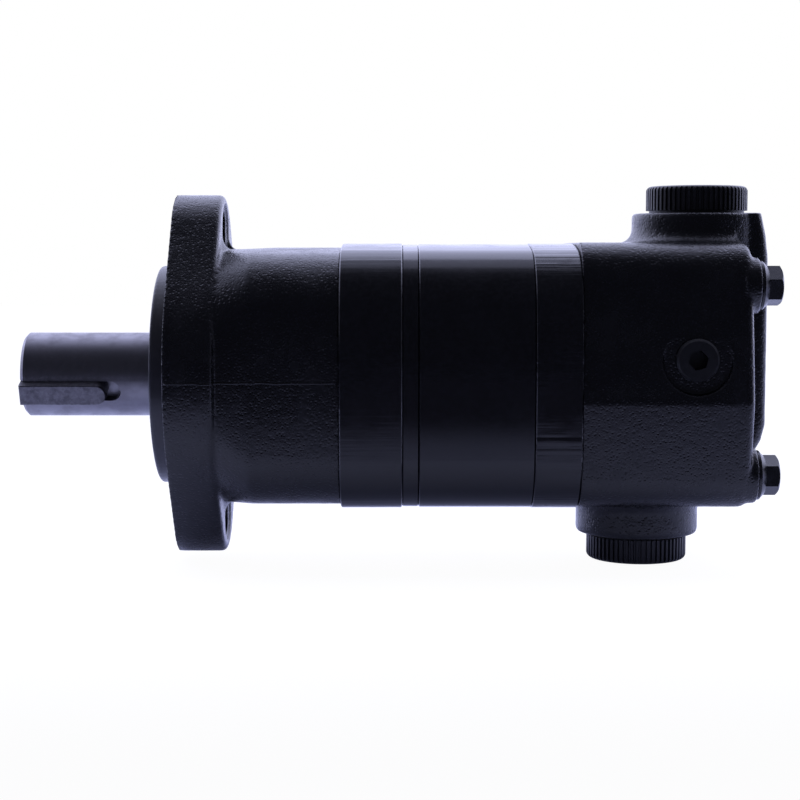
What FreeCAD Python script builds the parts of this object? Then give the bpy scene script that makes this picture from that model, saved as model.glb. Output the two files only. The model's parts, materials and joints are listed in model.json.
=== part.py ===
import FreeCAD, Part
import math
import os

# Hydraulic motor with an orbiting gear set and a rotary disc valve.
# Frame: X runs along the shaft from the mounting face (X = 0) to the rear, +Z is up.
# All lengths are millimetres and all angles are degrees.

# ---- Mounting interface -------------------------------------------------------------
shaft_diameter = 31.75
shaft_projection = 58.0
shaft_chamfer = 1.2
pilot_diameter = 82.55
pilot_length = 6.2
flange_thickness = 18.0
flange_height = 136.0
flange_mid_radius = 51.5
flange_lug_radius = 26.0
flange_bolt_spacing = 106.4
flange_slot_width = 14.3
flange_slot_length = 18.0
flange_edge_round = 2.0
lug_cove_radius = 8.0
bolt_relief_radius = 11.5
bolt_relief_length = 12.0
spotface_depth = 0.8

# ---- Key ----------------------------------------------------------------------------
key_width = 7.94
key_length = 32.2
key_end_inset = 0.3
key_height_over_shaft = 3.55
key_direction = 200.6
keyway_length = 37.6
keyway_side_clearance = 0.02

# ---- Lengths of the parts stacked behind the mounting face --------------------------
housing_length = 62.5
spacer_plate_thickness = 22.5
wear_plate_thickness = 6.0
gear_ring_thickness = 41.5
valve_plate_thickness = 16.8
valve_housing_length = 61.2

# ---- Outer outlines: half width, radius of the crowned sides, corner radius ----------
housing_front_outline = (47.8, 120.0, 42.0)
housing_rear_outline = (48.2, 170.0, 24.0)
housing_blend_length = 12.0
spacer_plate_outline = (49.7, 160.0, 24.0)
wear_plate_outline = (49.3, 160.0, 24.0)
gear_ring_outline = (49.5, 160.0, 24.0)
valve_plate_outline = (49.7, 160.0, 24.0)
plate_edge_chamfer = 0.4

# ---- Body bolts ---------------------------------------------------------------------
bolt_diameter = 7.94
bolt_position = 34.4
bolt_hole_clearance = 0.43
bolt_tapped_clearance = 0.08
bolt_reach_into_housing = 17.0
bolt_flange_diameter = 18.0
bolt_flange_height = 3.0
bolt_hex_across_flats = 12.7
bolt_hex_height = 5.2
bolt_seat_radius = 10.2
bolt_seat_height = 2.8
bolt_hex_turns = (12.0, 41.0, 27.0, 5.0)

# ---- Face seals between the parts -----------------------------------------------------
face_seal_radius = 41.0
face_seal_section = 2.4
seal_groove_clearance = 0.03

# ---- Valve housing --------------------------------------------------------------------
valve_housing_top_height = 50.0
valve_housing_bottom_height = 46.4
valve_housing_ridge_half_width = 50.0
valve_housing_ridge_height = -7.2
valve_housing_upper_lean = 9.0
valve_housing_lower_lean = 10.0
valve_housing_corner_radius = 14.0
valve_housing_rear_round = 3.0
rib_half_width = 17.5
rib_height = 10.7
rib_corner_round = 4.0

top_port_setback = 47.4
top_port_boss_diameter = 48.6
bottom_port_setback = 25.9
bottom_port_boss_diameter = 46.4
top_port_face_height = 61.0
bottom_port_face_height = 60.4
port_boss_cove = 5.0
port_boss_edge_round = 1.5
port_thread_radius = 13.5
port_thread_depth = 17.0
port_passage_radius = 7.5

drain_setback = 40.7
drain_height = 8.2
drain_spotface_diameter = 25.0
drain_spotface_plane = 46.3
drain_plug_diameter = 15.4
drain_plug_head_height = 1.9
drain_thread_radius = 6.0
drain_thread_length = 9.0
drain_socket_across_flats = 6.4
drain_socket_depth = 5.0
drain_seal_section = 1.0
drain_seal_clearance = 0.02

# ---- Port caps --------------------------------------------------------------------------
cap_diameter = 38.0
cap_height = 9.1
cap_seal_diameter = 35.6
cap_seal_thickness = 1.1
cap_stem_length = 11.0
cap_stem_clearance = 0.1
cap_rib_count = 60
cap_rib_depth = 0.7
cap_edge_round = 2.0

# ---- Bearings ----------------------------------------------------------------------------
shaft_seal_section = 10.125
dust_seal_section = 5.125
shaft_seal_width = 8.0
seal_washer_thickness = 1.3
dust_seal_width = 5.6
bearing_shoulder_x = 12.0
front_bearing_seat_step = 1.625
front_bearing_cone_section = 8.3
front_bearing_cup_section = 8.2
front_bearing_width = 16.0
rear_bearing_bore_radius = 22.5
rear_bearing_cone_section = 7.7
rear_bearing_cup_section = 7.3
rear_bearing_width = 16.0
bearing_cup_width = 13.0
collar_radius = 25.5
rear_bearing_setback = 4.5
bearing_angle = 12.0
front_roller_radius = 4.0
front_roller_count = 16
rear_roller_radius = 3.6
rear_roller_count = 20
bearing_roller_length = 9.5
bearing_clearance = 0.08
cage_thickness = 1.5
shim_thickness = 0.8

# ---- Gear set -------------------------------------------------------------------------------
roller_count = 7
roller_circle_radius = 31.5
roller_radius = 6.35
eccentricity = 3.2
star_tip_clearance = 0.3
pocket_clearance = 0.07
star_clearance = 0.05
end_clearance = 0.05
star_outline_points = 144

# ---- Splined drives ---------------------------------------------------------------------------
spline_teeth = 12
spline_minor_radius = 13.0
spline_major_radius = 15.2
spline_slot_width = 4.2
spline_root_gap = 0.8
spline_clearance = 0.12
valve_spline_minor_radius = 8.8
valve_spline_major_radius = 10.6
valve_spline_slot_width = 3.0
main_drive_front_setback = 14.0
main_drive_rear_reach = 12.5
main_drive_spline_length = 16.0
main_drive_waist_radius = 10.0
valve_drive_front_setback = 7.0
valve_drive_rear_reach = 14.65
valve_drive_spline_length = 9.0
valve_drive_waist_radius = 6.8
drive_nose_length = 2.4
valve_drive_nose_length = 1.9
drive_spacer_front_gap = 0.7
drive_spacer_rear_gap = 0.5
drive_bore_radius = 17.0

# ---- Rotary valve and balance ring ----------------------------------------------------------------
port_circle_at_gears = 28.5
port_circle_at_valve = 23.0
gear_port_radius = 2.8
valve_disc_radius = 31.0
valve_disc_thickness = 10.6
valve_hub_radius = 14.5
valve_hub_length = 12.0
valve_window_half_length = 3.0
valve_window_width = 5.6
valve_window_depth = 5.0
valve_inner_hole_radius = 2.2
valve_inner_hole_circle = 17.3
valve_rim_gap = 3.5
valve_cavity_length = 13.5
balance_ring_radius = 29.0
balance_ring_bore_radius = 20.0
balance_ring_length = 11.4
balance_hub_radius = 23.5
balance_hub_length = 11.0
balance_gap = 0.05
balance_seal_section = 2.2
balance_spring_count = 6
balance_spring_circle = 26.2
balance_spring_radius = 1.7
balance_spring_wire = 0.7
balance_spring_length = 7.4
balance_spring_coils = 4
balance_pin_radius = 1.5
balance_pin_length = 7.4
balance_pin_depth = 1.8
rear_cavity_length = 12.0

# ---- Stations along X that follow from the lengths above ------------------------------------------
spacer_plate_x = housing_length
wear_plate_x = spacer_plate_x + spacer_plate_thickness
gear_ring_x = wear_plate_x + wear_plate_thickness
valve_plate_x = gear_ring_x + gear_ring_thickness
valve_housing_x = valve_plate_x + valve_plate_thickness
rear_face_x = valve_housing_x + valve_housing_length
top_port_x = valve_housing_x + top_port_setback
bottom_port_x = valve_housing_x + bottom_port_setback
drain_x = valve_housing_x + drain_setback
bolt_seat_x = rear_face_x + bolt_seat_height
shaft_radius = shaft_diameter / 2
collar_x = bearing_shoulder_x + front_bearing_width
rear_bearing_x = housing_length - rear_bearing_width - rear_bearing_setback
shaft_rear_x = rear_bearing_x + rear_bearing_width + 2.0
front_bearing_bore_radius = shaft_radius + front_bearing_seat_step
dust_seal_radius = shaft_radius + dust_seal_section
seal_bore_radius = shaft_radius + shaft_seal_section
front_pitch_radius = front_bearing_bore_radius + front_bearing_cone_section
front_bearing_outer_radius = front_pitch_radius + front_bearing_cup_section
rear_pitch_radius = rear_bearing_bore_radius + rear_bearing_cone_section
rear_bearing_outer_radius = rear_pitch_radius + rear_bearing_cup_section
valve_x = valve_housing_x + end_clearance
balance_ring_x = valve_x + valve_disc_thickness + balance_gap
balance_shoulder_x = balance_ring_x + balance_ring_length + 4.6
rear_cavity_x = balance_shoulder_x + balance_hub_length - 2.0
seal_groove_depth = face_seal_section + 2 * seal_groove_clearance
bolt_hole_radius = bolt_diameter / 2 + bolt_hole_clearance
star_tip_radius = roller_circle_radius + eccentricity - roller_radius - star_clearance
ring_bore_radius = star_tip_radius + eccentricity + star_tip_clearance
valve_cavity_radius = valve_disc_radius + valve_rim_gap
main_drive_front_x = shaft_rear_x - main_drive_front_setback
main_drive_rear_x = gear_ring_x + main_drive_rear_reach
valve_drive_front_x = valve_plate_x - valve_drive_front_setback
valve_drive_rear_x = valve_x + valve_drive_rear_reach
main_drive_end_x = main_drive_rear_x + main_drive_spline_length / 2 + drive_nose_length
valve_drive_start_x = (valve_drive_front_x - valve_drive_spline_length / 2
                       - valve_drive_nose_length)

X_AXIS = FreeCAD.Vector(1, 0, 0)
ORIGIN = FreeCAD.Vector(0, 0, 0)


def point(x, y, z):
    return FreeCAD.Vector(x, y, z)


def around_x(angle, radius, x=0.0):
    """A point at an angle from +Y towards +Z, at a radius from the shaft axis."""
    turn = math.radians(angle)
    return point(x, radius * math.cos(turn), radius * math.sin(turn))


def turned_about_x(shape, angle):
    result = shape.copy()
    result.rotate(ORIGIN, X_AXIS, angle)
    return result


def rod(x_start, x_end, radius, y=0.0, z=0.0):
    return Part.makeCylinder(radius, x_end - x_start, point(x_start, y, z), X_AXIS)


def sleeve(x_start, x_end, outer_radius, inner_radius):
    return rod(x_start, x_end, outer_radius).cut(rod(x_start - 1, x_end + 1, inner_radius))


def revolved(profile):
    """A solid of revolution about X from (x, radius) points."""
    corners = [point(x, 0, radius) for x, radius in profile]
    outline = Part.makePolygon(corners + [corners[0]])
    return Part.Face(outline).revolve(ORIGIN, X_AXIS, 360)


def box(x_range, y_range, z_range):
    low = point(x_range[0], y_range[0], z_range[0])
    size = [pair[1] - pair[0] for pair in (x_range, y_range, z_range)]
    return Part.makeBox(size[0], size[1], size[2], low)


def polygon_prism(corners, length):
    """A prism along X from (x, y, z) corners that lie in one plane of constant X."""
    outline = Part.makePolygon(corners + [corners[0]])
    return Part.Face(outline).extrude(point(length, 0, 0))


def hexagon(across_flats, x_start, length, turn=0.0):
    radius = across_flats / math.sqrt(3)
    corners = [around_x(turn + 60 * side, radius, x_start) for side in range(6)]
    return polygon_prism(corners, length)


def bolt_places():
    signs = ((1, 1), (-1, 1), (-1, -1), (1, -1))
    return [(side * bolt_position, up * bolt_position) for side, up in signs]


def with_bolt_holes(plate, x_start, x_end, radius):
    for y, z in bolt_places():
        plate = plate.cut(rod(x_start, x_end, radius, y, z))
    return plate


def crowned_square(x, outline):
    """A square with sides bulged to a large radius and round corners, at one X."""
    half_width, side_radius, corner_radius = outline
    side_centre = side_radius - half_width
    reach = side_radius - corner_radius
    discriminant = side_centre ** 2 - 2 * (side_centre ** 2 - reach ** 2)
    corner_centre = (-side_centre + math.sqrt(discriminant)) / 2
    scale = side_radius / reach
    tangent_far = (corner_centre + side_centre) * scale - side_centre
    tangent_near = corner_centre * scale
    corner_tip = corner_centre + corner_radius / math.sqrt(2)
    edges = []
    for quarter in range(4):
        stops = []
        for y, z in (
            (tangent_far, -tangent_near),
            (half_width, 0.0),
            (tangent_far, tangent_near),
            (corner_tip, corner_tip),
            (tangent_near, tangent_far),
        ):
            stop = point(x, y, z)
            stops.append(FreeCAD.Rotation(X_AXIS, 90 * quarter).multVec(stop))
        edges.append(Part.Arc(stops[0], stops[1], stops[2]).toShape())
        edges.append(Part.Arc(stops[2], stops[3], stops[4]).toShape())
    return Part.Wire(edges)


def crowned_plate(x_start, thickness, outline):
    block = Part.Face(crowned_square(x_start, outline)).extrude(point(thickness, 0, 0))
    rims = []
    for edge in block.Edges:
        bounds = edge.BoundBox
        if bounds.XLength < 0.01:
            rims.append(edge)
    return block.makeChamfer(plate_edge_chamfer, rims)


def flange_outline(x, mid_radius, lug_radius, half_height):
    """A round middle and two round lugs, joined by tangent lines, at one X."""
    lug_centre = half_height - lug_radius
    normal_z = (mid_radius - lug_radius) / lug_centre
    normal_y = math.sqrt(1 - normal_z ** 2)
    side_point = (mid_radius * normal_y, mid_radius * normal_z)
    lug_point = (lug_radius * normal_y, lug_centre + lug_radius * normal_z)
    right_low = point(x, side_point[0], -side_point[1])
    right_high = point(x, side_point[0], side_point[1])
    top_right = point(x, lug_point[0], lug_point[1])
    top_left = point(x, -lug_point[0], lug_point[1])
    left_high = point(x, -side_point[0], side_point[1])
    left_low = point(x, -side_point[0], -side_point[1])
    low_left = point(x, -lug_point[0], -lug_point[1])
    low_right = point(x, lug_point[0], -lug_point[1])
    edges = [
        Part.Arc(right_low, point(x, mid_radius, 0), right_high).toShape(),
        Part.LineSegment(right_high, top_right).toShape(),
        Part.Arc(top_right, point(x, 0, half_height), top_left).toShape(),
        Part.LineSegment(top_left, left_high).toShape(),
        Part.Arc(left_high, point(x, -mid_radius, 0), left_low).toShape(),
        Part.LineSegment(left_low, low_left).toShape(),
        Part.Arc(low_left, point(x, 0, -half_height), low_right).toShape(),
        Part.LineSegment(low_right, right_low).toShape(),
    ]
    return Part.Wire(edges)


def flange_plate():
    outline = flange_outline(0, flange_mid_radius, flange_lug_radius, flange_height / 2)
    plate = Part.Face(outline).extrude(point(flange_thickness, 0, 0))
    rear_rim = []
    for edge in plate.Edges:
        bounds = edge.BoundBox
        if bounds.XMin > flange_thickness - 0.01:
            rear_rim.append(edge)
    return plate.makeFillet(flange_edge_round, rear_rim)


def lug_cove():
    """The hollow curve that runs from the flange's back down to the housing."""
    base_height = housing_front_outline[0]
    steps = 5
    sections = []
    for step in range(steps + 1):
        share = step / steps
        rise = lug_cove_radius * (1 - math.sqrt(1 - (1 - share) ** 2))
        height = base_height + rise
        lug_radius = flange_lug_radius + 14.0 * share
        x = flange_thickness - 0.5 + (lug_cove_radius + 0.5) * share
        sections.append(flange_outline(x, base_height - 0.1, lug_radius, height))
    return Part.makeLoft(sections, True, True)


def face_seal_groove(face_x, direction):
    """The groove for a face seal, cut into a face that looks along direction."""
    start = min(face_x, face_x - direction * seal_groove_depth)
    half_width = face_seal_section / 2 + 0.15
    return sleeve(start, start + seal_groove_depth,
                  face_seal_radius + half_width, face_seal_radius - half_width)


def slot_prism(height, x_start, length):
    """A flange slot along Z, centred on the bolt at a height."""
    half_straight = (flange_slot_length - flange_slot_width) / 2
    radius = flange_slot_width / 2
    low = rod(x_start, x_start + length, radius, 0, height - half_straight)
    high = rod(x_start, x_start + length, radius, 0, height + half_straight)
    middle = box((x_start, x_start + length), (-radius, radius),
                 (height - half_straight, height + half_straight))
    return low.fuse(middle).fuse(high).removeSplitter()


def make_front_housing():
    blend_end = flange_thickness + housing_blend_length
    front_wire = crowned_square(flange_thickness - 4, housing_front_outline)
    rear_wire = crowned_square(blend_end, housing_rear_outline)
    blend = Part.makeLoft([front_wire, rear_wire], True, True)
    tail = Part.Face(rear_wire).extrude(point(housing_length - blend_end, 0, 0))
    pilot = rod(-pilot_length, 1, pilot_diameter / 2)
    pilot_rim = [edge for edge in pilot.Edges if edge.BoundBox.XMax < 0]
    pilot = pilot.makeChamfer(0.6, pilot_rim)
    body = flange_plate().fuse([lug_cove(), blend, tail, pilot])
    spot_x = flange_thickness - spotface_depth
    relief_end = flange_thickness + bolt_relief_length
    for sign in (1, -1):
        height = sign * flange_bolt_spacing / 2
        body = body.cut(slot_prism(height, -1, flange_thickness + 2))
        body = body.cut(rod(spot_x, relief_end, bolt_relief_radius, 0, height))
        runout = Part.makeCone(bolt_relief_radius, 0.5, bolt_relief_radius,
                               point(relief_end - 0.01, 0, height), X_AXIS)
        body = body.cut(runout)
    body = body.cut(rod(-pilot_length - 1, -pilot_length + dust_seal_width + 0.2,
                        dust_seal_radius + 0.02))
    body = body.cut(rod(-pilot_length - 1, 4, shaft_radius + 0.8))
    seal_seat = bearing_shoulder_x - shaft_seal_width - seal_washer_thickness - 0.4
    body = body.cut(rod(seal_seat, bearing_shoulder_x + 1, seal_bore_radius + 0.02))
    body = body.cut(rod(bearing_shoulder_x, housing_length + 1,
                        front_bearing_outer_radius + 0.02))
    body = body.cut(rod(rear_bearing_x, housing_length + 1,
                        rear_bearing_outer_radius + 0.02))
    tapped_depth = housing_length - bolt_reach_into_housing - 2.0
    body = with_bolt_holes(body, tapped_depth, housing_length + 1,
                           bolt_diameter / 2 + bolt_tapped_clearance)
    return body.removeSplitter()


def spline_outline(x, root_radius, tip_radius, half_width):
    """Corners of a parallel-sided spline, four to a tooth, in the plane of one X."""
    corners = []
    for tooth in range(spline_teeth):
        turn = FreeCAD.Rotation(X_AXIS, 360.0 / spline_teeth * tooth)
        root = math.sqrt(root_radius ** 2 - half_width ** 2)
        tip = math.sqrt(tip_radius ** 2 - half_width ** 2)
        for along, across in ((root, -half_width), (tip, -half_width),
                              (tip, half_width), (root, half_width)):
            corners.append(turn.multVec(point(x, along, across)))
    return corners


def spline_broach(x_start, x_end, minor_radius, major_radius, slot_width):
    """The tool that cuts an internal spline."""
    corners = spline_outline(x_start, minor_radius, major_radius, slot_width / 2)
    return polygon_prism(corners, x_end - x_start)


def crowned_spline(centre_x, length, minor_radius, major_radius, slot_width, tilt):
    """An external spline whose teeth narrow to both ends, so that it runs tilted."""
    half_length = length / 2
    lean = half_length * math.tan(math.radians(tilt)) + 0.04
    wires = []
    for offset, taper in ((-half_length, lean), (0.0, 0.0), (half_length, lean)):
        half_width = slot_width / 2 - spline_clearance - taper
        corners = spline_outline(centre_x + offset, minor_radius - spline_root_gap,
                                 major_radius - spline_clearance - taper, half_width)
        wires.append(Part.makePolygon(corners + [corners[0]]))
    return Part.makeLoft(wires, True, True)


def shaft_keyway():
    floor = shaft_radius + key_height_over_shaft - key_width - keyway_side_clearance
    half_width = key_width / 2 + keyway_side_clearance
    end_x = -shaft_projection + keyway_length - half_width
    slot = box((-shaft_projection - 2, end_x), (floor, shaft_radius + 5),
               (-half_width, half_width))
    end = Part.makeCylinder(half_width, shaft_radius + 5 - floor,
                            point(end_x, floor, 0), point(0, 1, 0))
    return turned_about_x(slot.fuse(end), key_direction)


def make_output_shaft():
    profile = [
        (-shaft_projection, 0),
        (-shaft_projection, shaft_radius - shaft_chamfer),
        (-shaft_projection + shaft_chamfer, shaft_radius),
        (bearing_shoulder_x - 0.3, shaft_radius),
        (bearing_shoulder_x - 0.3, front_bearing_bore_radius),
        (collar_x, front_bearing_bore_radius),
        (collar_x, collar_radius),
        (rear_bearing_x, collar_radius),
        (rear_bearing_x, rear_bearing_bore_radius),
        (shaft_rear_x - 1, rear_bearing_bore_radius),
        (shaft_rear_x, rear_bearing_bore_radius - 1),
        (shaft_rear_x, 0),
    ]
    shaft = revolved(profile)
    spline_start = main_drive_front_x - main_drive_spline_length / 2 - 4.0
    relief = rod(spline_start - 3.0, spline_start + 1.0, spline_major_radius + 0.3)
    broach = spline_broach(spline_start, shaft_rear_x + 1, spline_minor_radius,
                           spline_major_radius, spline_slot_width)
    centre_drill = Part.makeCone(3.5, 0.4, 5.0, point(-shaft_projection, 0, 0), X_AXIS)
    return shaft.cut([relief, broach, centre_drill, shaft_keyway()])


def make_shaft_key():
    top = shaft_radius + key_height_over_shaft
    bottom = top - key_width
    half_width = key_width / 2
    start = -shaft_projection + key_end_inset
    end_x = start + key_length - half_width
    bar = box((start, end_x), (bottom, top), (-half_width, half_width))
    end = Part.makeCylinder(half_width, key_width, point(end_x, bottom, 0),
                            point(0, 1, 0))
    key = bar.fuse(end).removeSplitter()
    top_edges = [edge for edge in key.Edges if edge.BoundBox.YMin > top - 0.01]
    return turned_about_x(key.makeChamfer(0.3, top_edges), key_direction)


def make_dust_seal():
    front = -pilot_length + 0.5
    rear = -pilot_length + dust_seal_width
    lip = shaft_radius + 0.03
    profile = [
        (front, dust_seal_radius - 0.02), (rear, dust_seal_radius - 0.02),
        (rear, shaft_radius + 1.6), (rear - 1.2, shaft_radius + 1.6),
        (rear - 2.2, lip), (front + 1.0, lip), (front + 0.4, shaft_radius + 0.9),
        (front + 1.6, shaft_radius + 2.6), (front, shaft_radius + 3.0),
    ]
    return revolved(profile)


def make_shaft_seal():
    rear = bearing_shoulder_x - seal_washer_thickness - 0.3
    front = rear - shaft_seal_width + 0.1
    outer = seal_bore_radius - 0.01
    lip = shaft_radius + 0.03
    profile = [
        (front, outer), (rear, outer), (rear, outer - 2.2), (front + 2.2, outer - 2.6),
        (front + 2.2, shaft_radius + 3.4), (rear - 1.6, shaft_radius + 3.0),
        (rear - 2.6, lip), (rear - 3.6, lip), (front, shaft_radius + 1.4),
    ]
    return revolved(profile)


def make_seal_washer():
    rear = bearing_shoulder_x - 0.15
    return sleeve(rear - seal_washer_thickness, rear, seal_bore_radius - 0.02,
                  front_bearing_bore_radius + 0.6)


def taper_bearing(small_end_x, direction, bore_radius, outer_radius, width, pitch_radius,
                  roller_size, count, cup_far_x, cup_near_x):
    """A taper roller bearing as (inner race, outer race, rollers, cage).

    The rollers' small ends face small_end_x, and their large ends face along direction.
    """
    angle = math.radians(bearing_angle)
    middle_x = small_end_x + direction * width / 2
    apex_x = middle_x - direction * pitch_radius / math.tan(angle)
    axis_length = pitch_radius / math.sin(angle)
    half_angle = math.atan(roller_size / axis_length)

    def raceway(x, side):
        return abs(x - apex_x) * math.tan(angle + side * half_angle)

    def end_x(distance, radius):
        along = distance * math.cos(angle) + radius * math.sin(angle)
        return apex_x + direction * along

    near = axis_length - bearing_roller_length / 2
    far = axis_length + bearing_roller_length / 2
    big_radius = far * math.tan(half_angle)
    small_radius = near * math.tan(half_angle)
    big_stop = end_x(far, big_radius) + direction * 0.12
    small_stop = end_x(near, small_radius) - direction * 0.35
    back_x = small_end_x + direction * width
    inner_race = revolved([
        (small_end_x, bore_radius + 0.01), (back_x, bore_radius + 0.01),
        (back_x, raceway(big_stop, -1) + 1.6), (big_stop, raceway(big_stop, -1) + 1.6),
        (big_stop, raceway(big_stop, -1)), (small_stop, raceway(small_stop, -1)),
        (small_stop, raceway(small_stop, -1) + 0.8),
        (small_end_x, raceway(small_stop, -1) + 0.8),
    ])
    outer_race = revolved([
        (cup_near_x, outer_radius), (cup_far_x, outer_radius),
        (cup_far_x, raceway(cup_far_x, 1)), (cup_near_x, raceway(cup_near_x, 1)),
    ])
    axis = point(direction * math.cos(angle), 0, math.sin(angle))
    apex = point(apex_x, 0, 0)

    def roller(extra):
        start = apex + axis * (near - extra)
        return Part.makeCone(small_radius - bearing_clearance + extra,
                             big_radius - bearing_clearance + extra,
                             bearing_roller_length + 2 * extra, start, axis)

    rollers = []
    windows = []
    for index in range(count):
        rollers.append(turned_about_x(roller(0.0), 360.0 / count * index))
        windows.append(turned_about_x(roller(0.2), 360.0 / count * index))
    band = []
    for distance, offset in ((near - 1.6, -0.5), (far + 1.4, -0.5),
                             (far + 1.4, 0.5), (near - 1.6, 0.5)):
        radius = distance * math.sin(angle) + offset * cage_thickness
        band.append((apex_x + direction * distance * math.cos(angle), radius))
    cage = revolved(band).cut(windows)
    return inner_race, outer_race, Part.makeCompound(rollers), cage


def make_bearings():
    front = taper_bearing(bearing_shoulder_x, 1, front_bearing_bore_radius,
                          front_bearing_outer_radius, front_bearing_width,
                          front_pitch_radius, front_roller_radius, front_roller_count,
                          bearing_shoulder_x + bearing_cup_width,
                          bearing_shoulder_x + 0.05)
    rear_end = housing_length - shim_thickness - 0.05
    rear = taper_bearing(rear_bearing_x + rear_bearing_width, -1,
                         rear_bearing_bore_radius, rear_bearing_outer_radius,
                         rear_bearing_width, rear_pitch_radius, rear_roller_radius,
                         rear_roller_count, rear_end - bearing_cup_width - 1.5, rear_end)
    pieces = {}
    for name, bearing in (("front_bearing", front), ("rear_bearing", rear)):
        inner_race, outer_race, rollers, cage = bearing
        pieces[name + "_inner_race"] = inner_race
        pieces[name + "_outer_race"] = outer_race
        pieces[name + "_rollers"] = rollers
        pieces[name + "_cage"] = cage
    return pieces


def make_bearing_shim():
    rear = housing_length - 0.02
    return sleeve(rear - shim_thickness, rear, rear_bearing_outer_radius - 0.05,
                  rear_bearing_bore_radius + 8.5)


def make_spacer_plate():
    end = spacer_plate_x + spacer_plate_thickness
    plate = crowned_plate(spacer_plate_x, spacer_plate_thickness, spacer_plate_outline)
    plate = plate.cut(rod(spacer_plate_x - 1, end + 1, spline_major_radius + 7.0))
    plate = plate.cut([face_seal_groove(spacer_plate_x, -1), face_seal_groove(end, 1)])
    return with_bolt_holes(plate, spacer_plate_x - 1, end + 1, bolt_hole_radius)


def make_wear_plate():
    end = wear_plate_x + wear_plate_thickness
    plate = crowned_plate(wear_plate_x, wear_plate_thickness, wear_plate_outline)
    plate = plate.cut(rod(wear_plate_x - 1, end + 1, drive_bore_radius))
    return with_bolt_holes(plate, wear_plate_x - 1, end + 1, bolt_hole_radius)


def roller_angle(index):
    return -90.0 + 360.0 / roller_count * index


def make_gear_ring():
    end = gear_ring_x + gear_ring_thickness
    ring = crowned_plate(gear_ring_x, gear_ring_thickness, gear_ring_outline)
    hollow = rod(gear_ring_x - 1, end + 1, ring_bore_radius)
    pockets = []
    for index in range(roller_count):
        centre = around_x(roller_angle(index), roller_circle_radius)
        pockets.append(rod(gear_ring_x - 1, end + 1, roller_radius + pocket_clearance,
                           centre.y, centre.z))
    ring = ring.cut(hollow.fuse(pockets).removeSplitter())
    ring = ring.cut([face_seal_groove(gear_ring_x, -1), face_seal_groove(end, 1)])
    return with_bolt_holes(ring, gear_ring_x - 1, end + 1, bolt_hole_radius)


def make_gear_roller(index):
    centre = around_x(roller_angle(index), roller_circle_radius)
    start = gear_ring_x + end_clearance
    end = gear_ring_x + gear_ring_thickness - end_clearance
    body = rod(start, end, roller_radius, centre.y, centre.z)
    return body.makeChamfer(0.3, [edge for edge in body.Edges
                                  if edge.BoundBox.XLength < 0.01])


def star_outline(x):
    """The rotor's outline: the rollers' path seen from the rotor, moved inwards."""
    lobes = roller_count - 1
    inset = roller_radius + star_clearance
    points = []
    for step in range(star_outline_points):
        turn = 2 * math.pi * step / star_outline_points
        fast = roller_count * turn
        y = roller_circle_radius * math.cos(turn) - eccentricity * math.cos(fast)
        z = roller_circle_radius * math.sin(turn) - eccentricity * math.sin(fast)
        slope_y = (-roller_circle_radius * math.sin(turn)
                   + eccentricity * (lobes + 1) * math.sin(fast))
        slope_z = (roller_circle_radius * math.cos(turn)
                   - eccentricity * (lobes + 1) * math.cos(fast))
        length = math.hypot(slope_y, slope_z)
        inner_y = y - inset * slope_z / length
        inner_z = z + inset * slope_y / length
        points.append(point(x, inner_y, inner_z))
    curve = Part.BSplineCurve()
    curve.interpolate(Points=points, PeriodicFlag=True)
    return Part.Wire(curve.toShape())


def make_star():
    start = gear_ring_x + end_clearance
    length = gear_ring_thickness - 2 * end_clearance
    blank = Part.Face(star_outline(start)).extrude(point(length, 0, 0))
    blank = turned_about_x(blank, roller_angle(0))
    broach = spline_broach(start - 1, start + length + 1, spline_minor_radius,
                           spline_major_radius, spline_slot_width)
    star = blank.cut(broach)
    star.translate(point(0, 0, -eccentricity))
    return star


def tilted_drive(shape, front_x, offset_front, rear_x, offset_rear):
    """Lays a straight drive along the line between its two spline centres."""
    slope = math.degrees(math.atan2(offset_rear - offset_front, rear_x - front_x))
    placed = shape.copy()
    placed.rotate(point(front_x, 0, 0), point(0, -1, 0), slope)
    placed.translate(point(0, 0, offset_front))
    return placed


def drive_tilt(front_x, rear_x):
    return math.degrees(math.atan2(eccentricity, rear_x - front_x))


def make_main_drive():
    tilt = drive_tilt(main_drive_front_x, main_drive_rear_x)
    reach = main_drive_spline_length / 2
    pieces = []
    for centre in (main_drive_front_x, main_drive_rear_x):
        pieces.append(crowned_spline(centre, main_drive_spline_length,
                                     spline_minor_radius, spline_major_radius,
                                     spline_slot_width, tilt))
    front_end = main_drive_front_x - reach
    rear_end = main_drive_rear_x + reach
    neck = spline_minor_radius - spline_root_gap - 0.6
    pieces.append(revolved([
        (front_end - 1.5, 0), (front_end - 1.5, neck - 2), (front_end, neck),
        (main_drive_front_x + reach, neck), (main_drive_front_x + reach + 3,
                                             main_drive_waist_radius),
        (main_drive_rear_x - reach - 3, main_drive_waist_radius),
        (main_drive_rear_x - reach, neck), (rear_end, neck),
        (main_drive_end_x, 6.0), (main_drive_end_x, 0),
    ]))
    drive = pieces[0].fuse(pieces[1:]).removeSplitter()
    return tilted_drive(drive, main_drive_front_x, 0.0, main_drive_rear_x, -eccentricity)


def make_drive_spacer():
    disc = rod(main_drive_end_x + drive_spacer_front_gap,
               valve_drive_start_x - drive_spacer_rear_gap,
               spline_minor_radius - 0.75, 0, -eccentricity)
    return disc.makeChamfer(0.5, [edge for edge in disc.Edges
                                  if edge.BoundBox.XLength < 0.01])


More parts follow.
